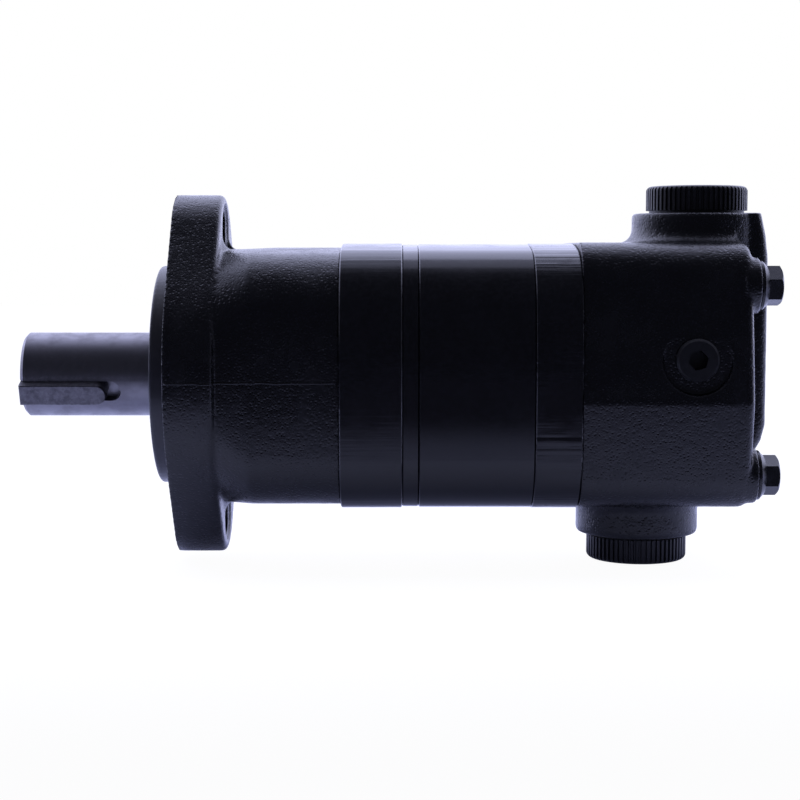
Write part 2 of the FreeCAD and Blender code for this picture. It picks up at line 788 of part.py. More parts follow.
def make_valve_drive():
    tilt = drive_tilt(valve_drive_front_x, valve_drive_rear_x)
    reach = valve_drive_spline_length / 2
    front = crowned_spline(valve_drive_front_x, valve_drive_spline_length,
                           spline_minor_radius, spline_major_radius,
                           spline_slot_width, tilt)
    rear = crowned_spline(valve_drive_rear_x, valve_drive_spline_length,
                          valve_spline_minor_radius, valve_spline_major_radius,
                          valve_spline_slot_width, tilt)
    front_end = valve_drive_front_x - reach
    rear_end = valve_drive_rear_x + reach
    neck = spline_minor_radius - spline_root_gap - 0.6
    core = revolved([
        (valve_drive_start_x, 0), (valve_drive_start_x, 5.0), (front_end, neck),
        (valve_drive_front_x + reach, neck),
        (valve_drive_front_x + reach + 3.5, valve_drive_waist_radius),
        (rear_end, valve_drive_waist_radius), (rear_end + 1.5, 5.0), (rear_end + 1.5, 0),
    ])
    drive = front.fuse([rear, core]).removeSplitter()
    return tilted_drive(drive, valve_drive_front_x, -eccentricity, valve_drive_rear_x, 0.0)


def gear_port(index):
    """One slanted passage from a gear chamber to the face of the rotary valve."""
    angle = roller_angle(index) + 180.0 / roller_count
    start = around_x(angle, port_circle_at_gears, valve_plate_x)
    end = around_x(angle, port_circle_at_valve, valve_housing_x)
    direction = end - start
    length = direction.Length
    direction.normalize()
    return Part.makeCylinder(gear_port_radius, length + 4, start - direction * 2,
                             direction)


def make_valve_plate():
    end = valve_plate_x + valve_plate_thickness
    plate = crowned_plate(valve_plate_x, valve_plate_thickness, valve_plate_outline)
    plate = plate.cut(rod(valve_plate_x - 1, end + 1, spline_major_radius + 0.8))
    plate = plate.cut([gear_port(index) for index in range(roller_count)])
    return with_bolt_holes(plate, valve_plate_x - 1, end + 1, bolt_hole_radius)


def make_rotary_valve():
    disc_end = valve_x + valve_disc_thickness
    valve = rod(valve_x, disc_end, valve_disc_radius)
    valve = valve.fuse(rod(disc_end - 1, disc_end + valve_hub_length, valve_hub_radius))
    valve = valve.cut(spline_broach(valve_x - 1, disc_end + valve_hub_length + 1,
                                    valve_spline_minor_radius,
                                    valve_spline_major_radius, valve_spline_slot_width))
    half_width = valve_window_width / 2
    inner = port_circle_at_valve - valve_window_half_length
    outer = port_circle_at_valve + valve_window_half_length
    cuts = [rod(valve_x - 1, valve_x + 3.5, valve_spline_major_radius + 2.0)]
    for window in range(2 * (roller_count - 1)):
        angle = 105.0 + 30.0 * window
        if window % 2 == 0:
            reach = (inner, valve_disc_radius + 1)
        else:
            reach = (valve_hub_radius + 0.6, outer)
            hole_centre = around_x(angle, valve_inner_hole_circle)
            cuts.append(rod(valve_x, disc_end + 1, valve_inner_hole_radius,
                            hole_centre.y, hole_centre.z))
        slot = box((valve_x - 1, valve_x + valve_window_depth), reach,
                   (-half_width, half_width))
        cuts.append(turned_about_x(slot, angle))
    return valve.cut(cuts)


def make_balance_ring():
    end = balance_ring_x + balance_ring_length
    ring = rod(balance_ring_x, end, balance_ring_radius)
    ring = ring.fuse(rod(end - 1, end + balance_hub_length, balance_hub_radius))
    ring = ring.cut(rod(balance_ring_x - 1, end + balance_hub_length + 1,
                        balance_ring_bore_radius))
    width = balance_seal_section + 2 * seal_groove_clearance
    depth = balance_seal_section + 0.02
    outer_groove = balance_seal_x(0)
    inner_groove = balance_seal_x(1)
    ring = ring.cut(sleeve(outer_groove, outer_groove + width, balance_ring_radius + 1,
                           balance_ring_radius - depth))
    ring = ring.cut(sleeve(inner_groove, inner_groove + width, balance_hub_radius + 1,
                           balance_hub_radius - depth))
    for sign in (1, -1):
        ring = ring.cut(rod(end - balance_pin_depth - 0.2, end + 1, balance_pin_radius + 0.05,
                            sign * balance_spring_circle, 0))
    return ring.removeSplitter()


def balance_seal_x(index):
    """Start of the balance ring's seal groove: 0 on its head, 1 on its hub."""
    head = balance_ring_x + 7.0
    hub = balance_shoulder_x + 2.5
    return (head, hub)[index]


def make_balance_seals():
    middle = balance_seal_section / 2 + seal_groove_clearance
    outer_radius = balance_ring_radius - balance_seal_section / 2
    inner_radius = balance_hub_radius - balance_seal_section / 2
    seals = []
    for index, radius in enumerate((outer_radius, inner_radius)):
        centre = point(balance_seal_x(index) + middle, 0, 0)
        seals.append(Part.makeTorus(radius, balance_seal_section / 2 - 0.04, centre,
                                    X_AXIS))
    return Part.makeCompound(seals)


def balance_spring_angles():
    step = 360.0 / balance_spring_count
    return [step * (index + 0.5) for index in range(balance_spring_count)]


def make_balance_springs():
    start = balance_ring_x + balance_ring_length + balance_spring_wire / 2 + 0.02
    pitch = (balance_spring_length - balance_spring_wire) / balance_spring_coils
    height = pitch * balance_spring_coils
    coil_radius = balance_spring_radius - balance_spring_wire / 2
    helix = Part.makeHelix(pitch, height, coil_radius)
    wire_centre = point(coil_radius, 0, 0)
    section = Part.Wire(Part.makeCircle(balance_spring_wire / 2, wire_centre,
                                        point(0, 1, 0)))
    coil = Part.Wire(helix).makePipeShell([section], True, True)
    coil.rotate(ORIGIN, point(0, 1, 0), 90)
    springs = []
    for angle in balance_spring_angles():
        spring = coil.copy()
        spring.translate(around_x(angle, balance_spring_circle, start))
        springs.append(spring)
    return Part.makeCompound(springs)


def make_balance_pins():
    start = balance_ring_x + balance_ring_length - balance_pin_depth
    return Part.makeCompound([
        rod(start, start + balance_pin_length, balance_pin_radius, y, 0)
        for y in (-balance_spring_circle, balance_spring_circle)
    ])


def valve_housing_outline(x):
    """A block with a ridge along each side and four round corners, at one X."""
    top = valve_housing_top_height
    bottom = valve_housing_bottom_height
    ridge = valve_housing_ridge_half_width
    ridge_z = valve_housing_ridge_height
    top_y = ridge - (top - ridge_z) * math.tan(math.radians(valve_housing_upper_lean))
    low_y = ridge - (bottom + ridge_z) * math.tan(math.radians(valve_housing_lower_lean))
    corners = [(ridge, ridge_z), (top_y, top), (-top_y, top),
               (-ridge, ridge_z), (-low_y, -bottom), (low_y, -bottom)]
    return [point(x, y, z) for y, z in corners]


def valve_housing_block():
    """The cast block, with its four long corners and its rear rim rounded."""
    block = polygon_prism(valve_housing_outline(valve_housing_x), valve_housing_length)
    long_corners = []
    for edge in block.Edges:
        bounds = edge.BoundBox
        if bounds.XLength > 1 and abs(bounds.ZMin) > valve_housing_bottom_height - 1:
            long_corners.append(edge)
    block = block.makeFillet(valve_housing_corner_radius, long_corners)
    rim = [edge for edge in block.Edges if edge.BoundBox.XMin > rear_face_x - 0.01]
    return block.makeFillet(valve_housing_rear_round, rim)


def port_boss(x, diameter, foot, face, sign):
    """A round port boss with a hollow curve at its foot, up or down by sign."""
    radius = diameter / 2
    edge = port_boss_edge_round
    arc_mid = port_boss_cove * (1 - 1 / math.sqrt(2))
    edge_mid = edge * (1 - 1 / math.sqrt(2))
    foot_point = point(radius + port_boss_cove, 0, foot)
    cove_end = point(radius, 0, foot + port_boss_cove)
    face_start = point(radius, 0, face - edge)
    face_end = point(radius - edge, 0, face)
    floor_point = point(radius + port_boss_cove, 0, 20)
    edges = [
        Part.LineSegment(point(0, 0, 20), floor_point),
        Part.LineSegment(floor_point, foot_point),
        Part.Arc(foot_point, point(radius + arc_mid, 0, foot + arc_mid), cove_end),
        Part.LineSegment(cove_end, face_start),
        Part.Arc(face_start, point(radius - edge_mid, 0, face - edge_mid), face_end),
        Part.LineSegment(face_end, point(0, 0, face)),
        Part.LineSegment(point(0, 0, face), point(0, 0, 20)),
    ]
    outline = Part.Wire([edge_line.toShape() for edge_line in edges])
    boss = Part.Face(outline).revolve(ORIGIN, point(0, 0, 1), 360)
    if sign < 0:
        boss.rotate(ORIGIN, X_AXIS, 180)
    boss.translate(point(x, 0, 0))
    core = Part.makeCylinder(radius, face - edge, point(x, 0, 0), point(0, 0, sign))
    keep = box((valve_housing_x, rear_face_x - valve_housing_rear_round),
               (-valve_housing_ridge_half_width + 9, valve_housing_ridge_half_width - 9),
               (-face, face))
    upper = box((x - radius - 1, x + radius + 1), (-radius - 1, radius + 1),
                sorted((sign * (foot + port_boss_cove), sign * (face + 1))))
    return boss.common(keep.fuse(upper)).fuse(core)


def rear_rib():
    """The upright gallery on the rear face, which fades out towards its foot."""
    outer = rear_face_x + rib_height
    inner = rear_face_x - 12.0
    side = [
        (inner, -34.0), (rear_face_x, -31.0), (outer - 3.5, -27.5), (outer - 1.5, -24.0),
        (outer, -18.0), (outer, 44.0), (outer - 1.0, 53.0), (outer - 2.8, top_port_face_height),
        (inner, top_port_face_height),
    ]
    corners = [point(x, -rib_half_width, z) for x, z in side]
    outline = Part.makePolygon(corners + [corners[0]])
    rib = Part.Face(outline).extrude(point(0, 2 * rib_half_width, 0))
    rounded = []
    for edge in rib.Edges:
        bounds = edge.BoundBox
        if bounds.YLength < 0.01 and bounds.XMin > rear_face_x + 1:
            rounded.append(edge)
    return rib.makeFillet(rib_corner_round, rounded)


def valve_housing_hollows():
    """Cavities and passages: the valve's cavity, the ring's seat and the ports."""
    cavity_end = valve_housing_x + valve_cavity_length
    top = point(0, 0, 1)
    hollows = [
        rod(valve_housing_x - 1, cavity_end, valve_cavity_radius),
        rod(balance_ring_x - balance_gap, balance_shoulder_x, balance_ring_radius + 0.05),
        rod(balance_shoulder_x - 1, rear_cavity_x, balance_hub_radius + 0.05),
        rod(rear_cavity_x - 1, rear_cavity_x + rear_cavity_length, 18.0),
    ]
    spring_end = (balance_ring_x + balance_ring_length + balance_spring_length + 0.3)
    for angle in balance_spring_angles():
        centre = around_x(angle, balance_spring_circle)
        hollows.append(rod(balance_shoulder_x - 1, spring_end,
                           balance_spring_radius + 0.25, centre.y, centre.z))
    for sign in (1, -1):
        hollows.append(rod(balance_shoulder_x - 1,
                           balance_shoulder_x + 3.2, balance_pin_radius + 0.05,
                           sign * balance_spring_circle, 0))
    top_floor = top_port_face_height - port_thread_depth
    bottom_floor = bottom_port_face_height - port_thread_depth
    for x, thread_floor, sign in ((top_port_x, top_floor, 1),
                                  (bottom_port_x, bottom_floor, -1)):
        hollows.append(Part.makeCylinder(port_thread_radius, port_thread_depth + 1,
                                         point(x, 0, sign * thread_floor), top * sign))
    hollows.append(Part.makeCylinder(port_passage_radius, top_floor,
                                     point(top_port_x, 0, 12), top))
    start = point(bottom_port_x, 0, -bottom_floor - 1)
    end = point(valve_housing_x + 10.0, 0, -valve_cavity_radius + 5)
    direction = end - start
    hollows.append(Part.makeCylinder(port_passage_radius - 1, direction.Length, start,
                                     direction))
    return hollows


def drain_hollows():
    """The drain's spotface, thread and the passage to a bolt hole."""
    near = point(0, -1, 0)
    thread_end = drain_spotface_plane - drain_thread_length - 3.0
    spotface = Part.makeCylinder(drain_spotface_diameter / 2, 12,
                                 point(drain_x, -drain_spotface_plane, drain_height), near)
    thread = Part.makeCylinder(drain_thread_radius + 0.08, 14,
                               point(drain_x, -thread_end, drain_height), near)
    start = point(drain_x, -thread_end - 3, drain_height)
    direction = point(drain_x, -bolt_position, bolt_position) - start
    passage = Part.makeCylinder(2.0, direction.Length, start, direction)
    return [spotface, thread, passage]


def make_valve_housing():
    seats = []
    for y, z in bolt_places():
        seats.append(rod(rear_face_x - valve_housing_rear_round, bolt_seat_x,
                         bolt_seat_radius, y, z))
    body = valve_housing_block().fuse([
        port_boss(top_port_x, top_port_boss_diameter, valve_housing_top_height,
                  top_port_face_height, 1),
        port_boss(bottom_port_x, bottom_port_boss_diameter, valve_housing_bottom_height,
                  bottom_port_face_height, -1),
        rear_rib(),
    ] + seats)
    body = body.cut(valve_housing_hollows())
    body = body.cut(drain_hollows())
    body = body.cut(face_seal_groove(valve_housing_x, -1))
    return with_bolt_holes(body, valve_housing_x - 1, bolt_seat_x + 1,
                           bolt_hole_radius)


def make_face_seals():
    """One seal for each joint, in the groove of one of the two faces."""
    inset = face_seal_section / 2 + seal_groove_clearance
    places = [
        spacer_plate_x + inset,
        wear_plate_x - inset,
        gear_ring_x + inset,
        valve_plate_x - inset,
        valve_housing_x + inset,
    ]
    seals = [Part.makeTorus(face_seal_radius, face_seal_section / 2, point(x, 0, 0), X_AXIS)
             for x in places]
    return Part.makeCompound(seals)


def body_bolt(turn):
    seat = bolt_seat_x
    tip = housing_length - bolt_reach_into_housing
    flange_end = seat + bolt_flange_height
    head_end = flange_end + bolt_hex_height
    hex_radius = bolt_hex_across_flats / math.sqrt(3)
    shank = rod(tip + 1, seat + 1, bolt_diameter / 2)
    point_end = Part.makeCone(bolt_diameter / 2 - 1, bolt_diameter / 2, 1.01,
                              point(tip, 0, 0), X_AXIS)
    flange = revolved([
        (seat, 0), (seat, bolt_flange_diameter / 2 - 0.3),
        (seat + 0.3, bolt_flange_diameter / 2), (seat + 1.2, bolt_flange_diameter / 2),
        (flange_end, hex_radius - 0.2), (flange_end, 0),
    ])
    head = hexagon(bolt_hex_across_flats, flange_end - 0.2, head_end - flange_end + 0.2,
                   turn)
    crown = revolved([
        (flange_end - 1, 0), (flange_end - 1, hex_radius + 1),
        (head_end - 0.9, hex_radius + 0.3), (head_end, hex_radius - 1.2), (head_end, 0),
    ])
    return shank.fuse([point_end, flange, head.common(crown)]).removeSplitter()


def make_body_bolts():
    bolts = []
    for place, turn in zip(bolt_places(), bolt_hex_turns):
        bolt = body_bolt(turn)
        bolt.translate(point(0, place[0], place[1]))
        bolts.append(bolt)
    return Part.makeCompound(bolts)


def upright(shape, x, height, sign):
    """Turns a shape built along +X to stand along +Z or -Z at a port."""
    placed = shape.copy()
    placed.rotate(ORIGIN, point(0, 1, 0), -90 * sign)
    placed.translate(point(x, 0, sign * height))
    return placed


def port_cap():
    """A ribbed hand cap with its solid stem, built along +X from the boss face."""
    bottom = cap_seal_thickness
    top = bottom + cap_height
    outer = cap_diameter / 2
    corners = []
    for rib in range(cap_rib_count):
        pitch = 360.0 / cap_rib_count
        for share, radius in ((-0.22, outer), (0.22, outer),
                              (0.34, outer - cap_rib_depth),
                              (0.66, outer - cap_rib_depth)):
            corners.append(around_x(pitch * (rib + share), radius, bottom))
    ribbed = polygon_prism(corners, cap_height)
    limit = rod(bottom, top, outer + 0.01)
    limit = limit.makeFillet(cap_edge_round, [edge for edge in limit.Edges
                                              if edge.BoundBox.XMin > top - 0.01])
    head = ribbed.common(limit)
    stem_radius = port_thread_radius - cap_stem_clearance
    stem = revolved([
        (bottom + 1, 0), (bottom + 1, stem_radius), (bottom - cap_stem_length + 1.5,
                                                     stem_radius),
        (bottom - cap_stem_length, stem_radius - 1.5), (bottom - cap_stem_length, 0),
    ])
    return head.fuse(stem).removeSplitter()


def cap_seal():
    return sleeve(0, cap_seal_thickness, cap_seal_diameter / 2,
                  port_thread_radius + 0.05)


def make_drain_plug():
    """Hex-socket plug, built along +X and turned to look out of the near side."""
    head_end = drain_plug_head_height
    radius = drain_plug_diameter / 2
    plug = revolved([
        (0, 0), (0, radius), (head_end - 0.8, radius), (head_end, radius - 0.8),
        (head_end, 0),
    ])
    plug = plug.fuse(rod(-drain_thread_length, 1, drain_thread_radius))
    socket = hexagon(drain_socket_across_flats, head_end - drain_socket_depth,
                     drain_socket_depth + 1, 15.0)
    plug = plug.cut(socket).removeSplitter()
    groove = sleeve(-0.01, drain_seal_section + 2 * drain_seal_clearance, radius - 0.6,
                    drain_thread_radius)
    plug = plug.cut(groove)
    return facing_near_side(plug)


def make_drain_seal():
    middle = (drain_plug_diameter / 2 - 0.6 + drain_thread_radius) / 2
    centre = point(drain_seal_section / 2 + drain_seal_clearance, 0, 0)
    ring = Part.makeTorus(middle, drain_seal_section / 2, centre, X_AXIS)
    return facing_near_side(ring)


def facing_near_side(shape):
    placed = shape.copy()
    placed.rotate(ORIGIN, point(0, 0, 1), -90)
    placed.translate(point(drain_x, -drain_spotface_plane, drain_height))
    return placed


def build_pieces():
    pieces = {
        "front_housing": make_front_housing(),
        "output_shaft": make_output_shaft(),
        "shaft_key": make_shaft_key(),
        "dust_seal": make_dust_seal(),
        "shaft_seal": make_shaft_seal(),
        "seal_backup_washer": make_seal_washer(),
        "bearing_shim": make_bearing_shim(),
        "spacer_plate": make_spacer_plate(),
        "wear_plate": make_wear_plate(),
        "gear_ring": make_gear_ring(),
        "star": make_star(),
        "main_drive": make_main_drive(),
        "drive_spacer": make_drive_spacer(),
        "valve_drive": make_valve_drive(),
        "valve_plate": make_valve_plate(),
        "rotary_valve": make_rotary_valve(),
        "balance_ring": make_balance_ring(),
        "balance_seals": make_balance_seals(),
        "balance_springs": make_balance_springs(),
        "balance_pins": make_balance_pins(),
        "valve_housing": make_valve_housing(),
        "face_seals": make_face_seals(),
        "body_bolts": make_body_bolts(),
        "drain_plug": make_drain_plug(),
        "drain_plug_seal": make_drain_seal(),
        "top_port_cap": upright(port_cap(), top_port_x, top_port_face_height, 1),
        "top_cap_seal": upright(cap_seal(), top_port_x, top_port_face_height, 1),
        "bottom_port_cap": upright(port_cap(), bottom_port_x,
                                   bottom_port_face_height, -1),
        "bottom_cap_seal": upright(cap_seal(), bottom_port_x,
                                   bottom_port_face_height, -1),
    }
    pieces.update(make_bearings())
    for index in range(roller_count):
        pieces["gear_roller_" + str(index + 1)] = make_gear_roller(index)
    return pieces


os.makedirs("parts", exist_ok=True)
for name, shape in build_pieces().items():
    shape.exportStep("parts/" + name + ".step")
    print(name, len(shape.Solids), round(shape.Volume, 1), shape.isValid())
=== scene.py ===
"""Looks of an orbital hydraulic motor: painted castings and plates, steel shaft and caps."""
import json
import logging
import math
from dataclasses import dataclass
from enum import Enum

import bmesh
import bpy
import numpy as np
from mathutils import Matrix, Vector, noise
from mathutils.bvhtree import BVHTree


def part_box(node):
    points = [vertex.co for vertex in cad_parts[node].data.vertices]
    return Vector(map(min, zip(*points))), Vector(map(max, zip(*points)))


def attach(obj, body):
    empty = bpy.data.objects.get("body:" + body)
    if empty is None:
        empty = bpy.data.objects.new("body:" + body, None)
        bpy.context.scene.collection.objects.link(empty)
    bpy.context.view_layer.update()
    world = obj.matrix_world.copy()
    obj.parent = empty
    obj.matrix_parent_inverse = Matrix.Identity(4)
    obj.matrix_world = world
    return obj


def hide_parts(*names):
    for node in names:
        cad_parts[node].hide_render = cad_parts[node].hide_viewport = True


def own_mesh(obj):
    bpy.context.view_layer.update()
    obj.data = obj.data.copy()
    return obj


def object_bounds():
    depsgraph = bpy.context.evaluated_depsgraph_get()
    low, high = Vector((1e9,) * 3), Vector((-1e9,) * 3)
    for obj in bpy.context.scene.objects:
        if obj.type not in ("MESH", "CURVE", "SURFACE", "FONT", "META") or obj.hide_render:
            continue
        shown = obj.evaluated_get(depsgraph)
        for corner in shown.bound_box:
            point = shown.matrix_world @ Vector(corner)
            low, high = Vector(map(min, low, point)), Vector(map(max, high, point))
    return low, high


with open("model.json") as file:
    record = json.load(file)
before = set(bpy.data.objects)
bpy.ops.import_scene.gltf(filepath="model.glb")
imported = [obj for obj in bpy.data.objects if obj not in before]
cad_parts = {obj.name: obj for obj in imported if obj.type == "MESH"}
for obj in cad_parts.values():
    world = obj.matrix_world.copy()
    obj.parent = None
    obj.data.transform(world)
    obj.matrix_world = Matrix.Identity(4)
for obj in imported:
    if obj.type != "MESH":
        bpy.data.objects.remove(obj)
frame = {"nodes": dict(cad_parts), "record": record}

CAD_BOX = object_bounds()
MM = 0.001
LOG = logging.getLogger("motor")

Colour = tuple[float, float, float]


# ---------------------------------------------------------------- shader groups

class Effect(Enum):
    """Surface effects that several materials share."""

    CAST_GRAIN = "CastGrain"
    AXIAL_STREAKS = "AxialStreaks"
    BLOTCHES = "Blotches"
    EDGE_WEAR = "EdgeWear"


def noise_node(
    tree: bpy.types.ShaderNodeTree,
    vector: bpy.types.NodeSocket,
    scale: bpy.types.NodeSocket | float,
    detail: float,
    roughness: float = 0.55,
) -> bpy.types.NodeSocket:
    """Adds a noise texture.

    Args:
        tree: the tree it goes in.
        vector: where the noise is read.
        scale: a number or the socket that gives it.
        detail: octaves.
        roughness: how strong the fine octaves are.

    Returns:
        The noise's value socket.
    """
    node = tree.nodes.new("ShaderNodeTexNoise")
    node.inputs["Detail"].default_value = detail
    node.inputs["Roughness"].default_value = roughness
    tree.links.new(vector, node.inputs["Vector"])
    if isinstance(scale, bpy.types.NodeSocket):
        tree.links.new(scale, node.inputs["Scale"])
    else:
        node.inputs["Scale"].default_value = scale
    return node.outputs["Fac"]


def math_node(
    tree: bpy.types.ShaderNodeTree,
    operation: str,
    first: bpy.types.NodeSocket | float,
    second: bpy.types.NodeSocket | float,
) -> bpy.types.NodeSocket:
    """Adds a Math node.

    Args:
        tree: the tree it goes in.
        operation: Blender's name of the operation.
        first: first number or socket.
        second: second number or socket.

    Returns:
        The result's socket.
    """
    node = tree.nodes.new("ShaderNodeMath")
    node.operation = operation
    for index, value in enumerate((first, second)):
        if isinstance(value, bpy.types.NodeSocket):
            tree.links.new(value, node.inputs[index])
        else:
            node.inputs[index].default_value = value
    return node.outputs[0]


def range_node(
    tree: bpy.types.ShaderNodeTree,
    value: bpy.types.NodeSocket,
    low: bpy.types.NodeSocket | float,
    high: bpy.types.NodeSocket | float,
) -> bpy.types.NodeSocket:
    """Stretches a value so that low becomes 0 and high becomes 1, clamped.

    Args:
        tree: the tree it goes in.
        value: the value's socket.
        low: number or socket that maps to 0.
        high: number or socket that maps to 1.

    Returns:
        The stretched value's socket.
    """
    node = tree.nodes.new("ShaderNodeMapRange")
    node.interpolation_type = "SMOOTHSTEP"
    tree.links.new(value, node.inputs["Value"])
    for name, edge in (("From Min", low), ("From Max", high)):
        if isinstance(edge, bpy.types.NodeSocket):
            tree.links.new(edge, node.inputs[name])
        else:
            node.inputs[name].default_value = edge
    return node.outputs["Result"]


class GroupMaker:
    """Builds each shared shader node group once."""

    def __init__(self) -> None:
        """Starts with no groups."""
        self.made: dict[Effect, bpy.types.ShaderNodeTree] = {}

    def get(self, effect: Effect) -> bpy.types.ShaderNodeTree:
        """Gives the node group of an effect, and builds it on first use.

        Args:
            effect: the effect wanted.

        Returns:
            The shader node group.
        """
        if effect not in self.made:
            builders = {
                Effect.CAST_GRAIN: self._cast_grain,
                Effect.AXIAL_STREAKS: self._axial_streaks,
                Effect.BLOTCHES: self._blotches,
                Effect.EDGE_WEAR: self._edge_wear,
            }
            self.made[effect] = builders[effect]()
        return self.made[effect]

    @staticmethod
    def _open(
        effect: Effect, inputs: dict[str, float], outputs: tuple[str, ...]
    ) -> tuple[bpy.types.ShaderNodeTree, bpy.types.Node, bpy.types.Node]:
        """Makes an empty group with number inputs and number outputs.

        Args:
            effect: the effect that names the group.
            inputs: default value of each input.
            outputs: names of the outputs.

        Returns:
            The group, its input node and its output node.
        """
        tree = bpy.data.node_groups.new(effect.value, "ShaderNodeTree")
        for name, value in inputs.items():
            socket = tree.interface.new_socket(name, in_out="INPUT", socket_type="NodeSocketFloat")
            socket.default_value = value
        for name in outputs:
            tree.interface.new_socket(name, in_out="OUTPUT", socket_type="NodeSocketFloat")
        return tree, tree.nodes.new("NodeGroupInput"), tree.nodes.new("NodeGroupOutput")

    def _cast_grain(self) -> bpy.types.ShaderNodeTree:
        """Sand-cast skin: soft lumps with scattered pits.

        Returns:
            The group.
        """
        wave_scale, wave_share = 0.3, 0.6
        pit_scale, pit_edges = 0.55, (0.05, 0.45)
        tree, source, sink = self._open(
            Effect.CAST_GRAIN, {"Scale": 900.0, "Pits": 0.5}, ("Height",)
        )
        place = tree.nodes.new("ShaderNodeTexCoord").outputs["Object"]
        lumps = noise_node(tree, place, source.outputs["Scale"], detail=3.0, roughness=0.6)
        wide = math_node(tree, "MULTIPLY", source.outputs["Scale"], wave_scale)
        waves = noise_node(tree, place, wide, detail=1.0)
        cells = tree.nodes.new("ShaderNodeTexVoronoi")
        cells.feature = "SMOOTH_F1"
        cells.inputs["Smoothness"].default_value = 0.6
        tree.links.new(place, cells.inputs["Vector"])
        tree.links.new(math_node(tree, "MULTIPLY", source.outputs["Scale"], pit_scale),
                       cells.inputs["Scale"])
        pits = range_node(tree, cells.outputs["Distance"], *pit_edges)
        pits = math_node(tree, "MULTIPLY", pits, source.outputs["Pits"])
        waves = math_node(tree, "MULTIPLY", waves, wave_share)
        height = math_node(tree, "ADD", math_node(tree, "ADD", lumps, waves), pits)
        tree.links.new(height, sink.inputs["Height"])
        return tree

    def _axial_streaks(self) -> bpy.types.ShaderNodeTree:
        """Fine lines along the motor's axis, with a few longer runs among them.

        Returns:
            The group.
        """
        along_axis = (0.02, 1.0, 1.0)
        run_scale, run_edges = 0.22, (0.52, 0.7)
        patch_scale, patch_edges = 60.0, (0.35, 0.62)
        tree, source, sink = self._open(
            Effect.AXIAL_STREAKS, {"Density": 1600.0, "Runs": 0.4}, ("Height",)
        )
        place = tree.nodes.new("ShaderNodeTexCoord").outputs["Object"]
        stretch = tree.nodes.new("ShaderNodeVectorMath")
        stretch.operation = "MULTIPLY"
        stretch.inputs[1].default_value = along_axis
        tree.links.new(place, stretch.inputs[0])
        fine = noise_node(tree, stretch.outputs[0], source.outputs["Density"], detail=2.0)
        sparse = math_node(tree, "MULTIPLY", source.outputs["Density"], run_scale)
        runs = noise_node(tree, stretch.outputs[0], sparse, detail=1.0)
        runs = range_node(tree, runs, *run_edges)
        patches = range_node(tree, noise_node(tree, place, patch_scale, detail=2.0), *patch_edges)
        fine = math_node(tree, "MULTIPLY", fine, patches)
        runs = math_node(tree, "MULTIPLY", runs, source.outputs["Runs"])
        tree.links.new(math_node(tree, "ADD", fine, runs), sink.inputs["Height"])
        return tree

    def _blotches(self) -> bpy.types.ShaderNodeTree:
        """Soft patches, for stains and uneven colour.

        Returns:
            The group.
        """
        tree, source, sink = self._open(
            Effect.BLOTCHES, {"Scale": 120.0, "Low": 0.35, "High": 0.7}, ("Mask",)
        )
        place = tree.nodes.new("ShaderNodeTexCoord").outputs["Object"]
        value = noise_node(tree, place, source.outputs["Scale"], detail=5.0, roughness=0.6)
        mask = range_node(tree, value, source.outputs["Low"], source.outputs["High"])
        tree.links.new(mask, sink.inputs["Mask"])
        return tree

    def _edge_wear(self) -> bpy.types.ShaderNodeTree:
        """Broken rubbing along the outer edges.

        Returns:
            The group.
        """
        flat, edge_start = 0.5, 0.505
        break_scale, break_edges = 700.0, (0.45, 0.6)
        tree, source, sink = self._open(
            Effect.EDGE_WEAR, {"Reach": 0.06, "Amount": 0.5}, ("Mask",)
        )
        place = tree.nodes.new("ShaderNodeTexCoord").outputs["Object"]
        point = tree.nodes.new("ShaderNodeNewGeometry").outputs["Pointiness"]
        high = math_node(tree, "ADD", source.outputs["Reach"], flat)
        edge = range_node(tree, point, edge_start, high)
        crumbs = noise_node(tree, place, break_scale, detail=4.0)
        broken = range_node(tree, crumbs, *break_edges)
        mask = math_node(tree, "MULTIPLY", edge, broken)
        mask = math_node(tree, "MULTIPLY", mask, source.outputs["Amount"])
        tree.links.new(mask, sink.inputs["Mask"])
        return tree


GROUPS = GroupMaker()


def colour_sockets(sockets: bpy.types.bpy_prop_collection) -> list[bpy.types.NodeSocket]:
    """Picks the colour sockets of a Mix node, which also has number and vector ones.

    Args:
        sockets: the node's inputs or outputs.

    Returns:
        Its colour sockets in order.
    """
    return [socket for socket in sockets if socket.type == "RGBA"]


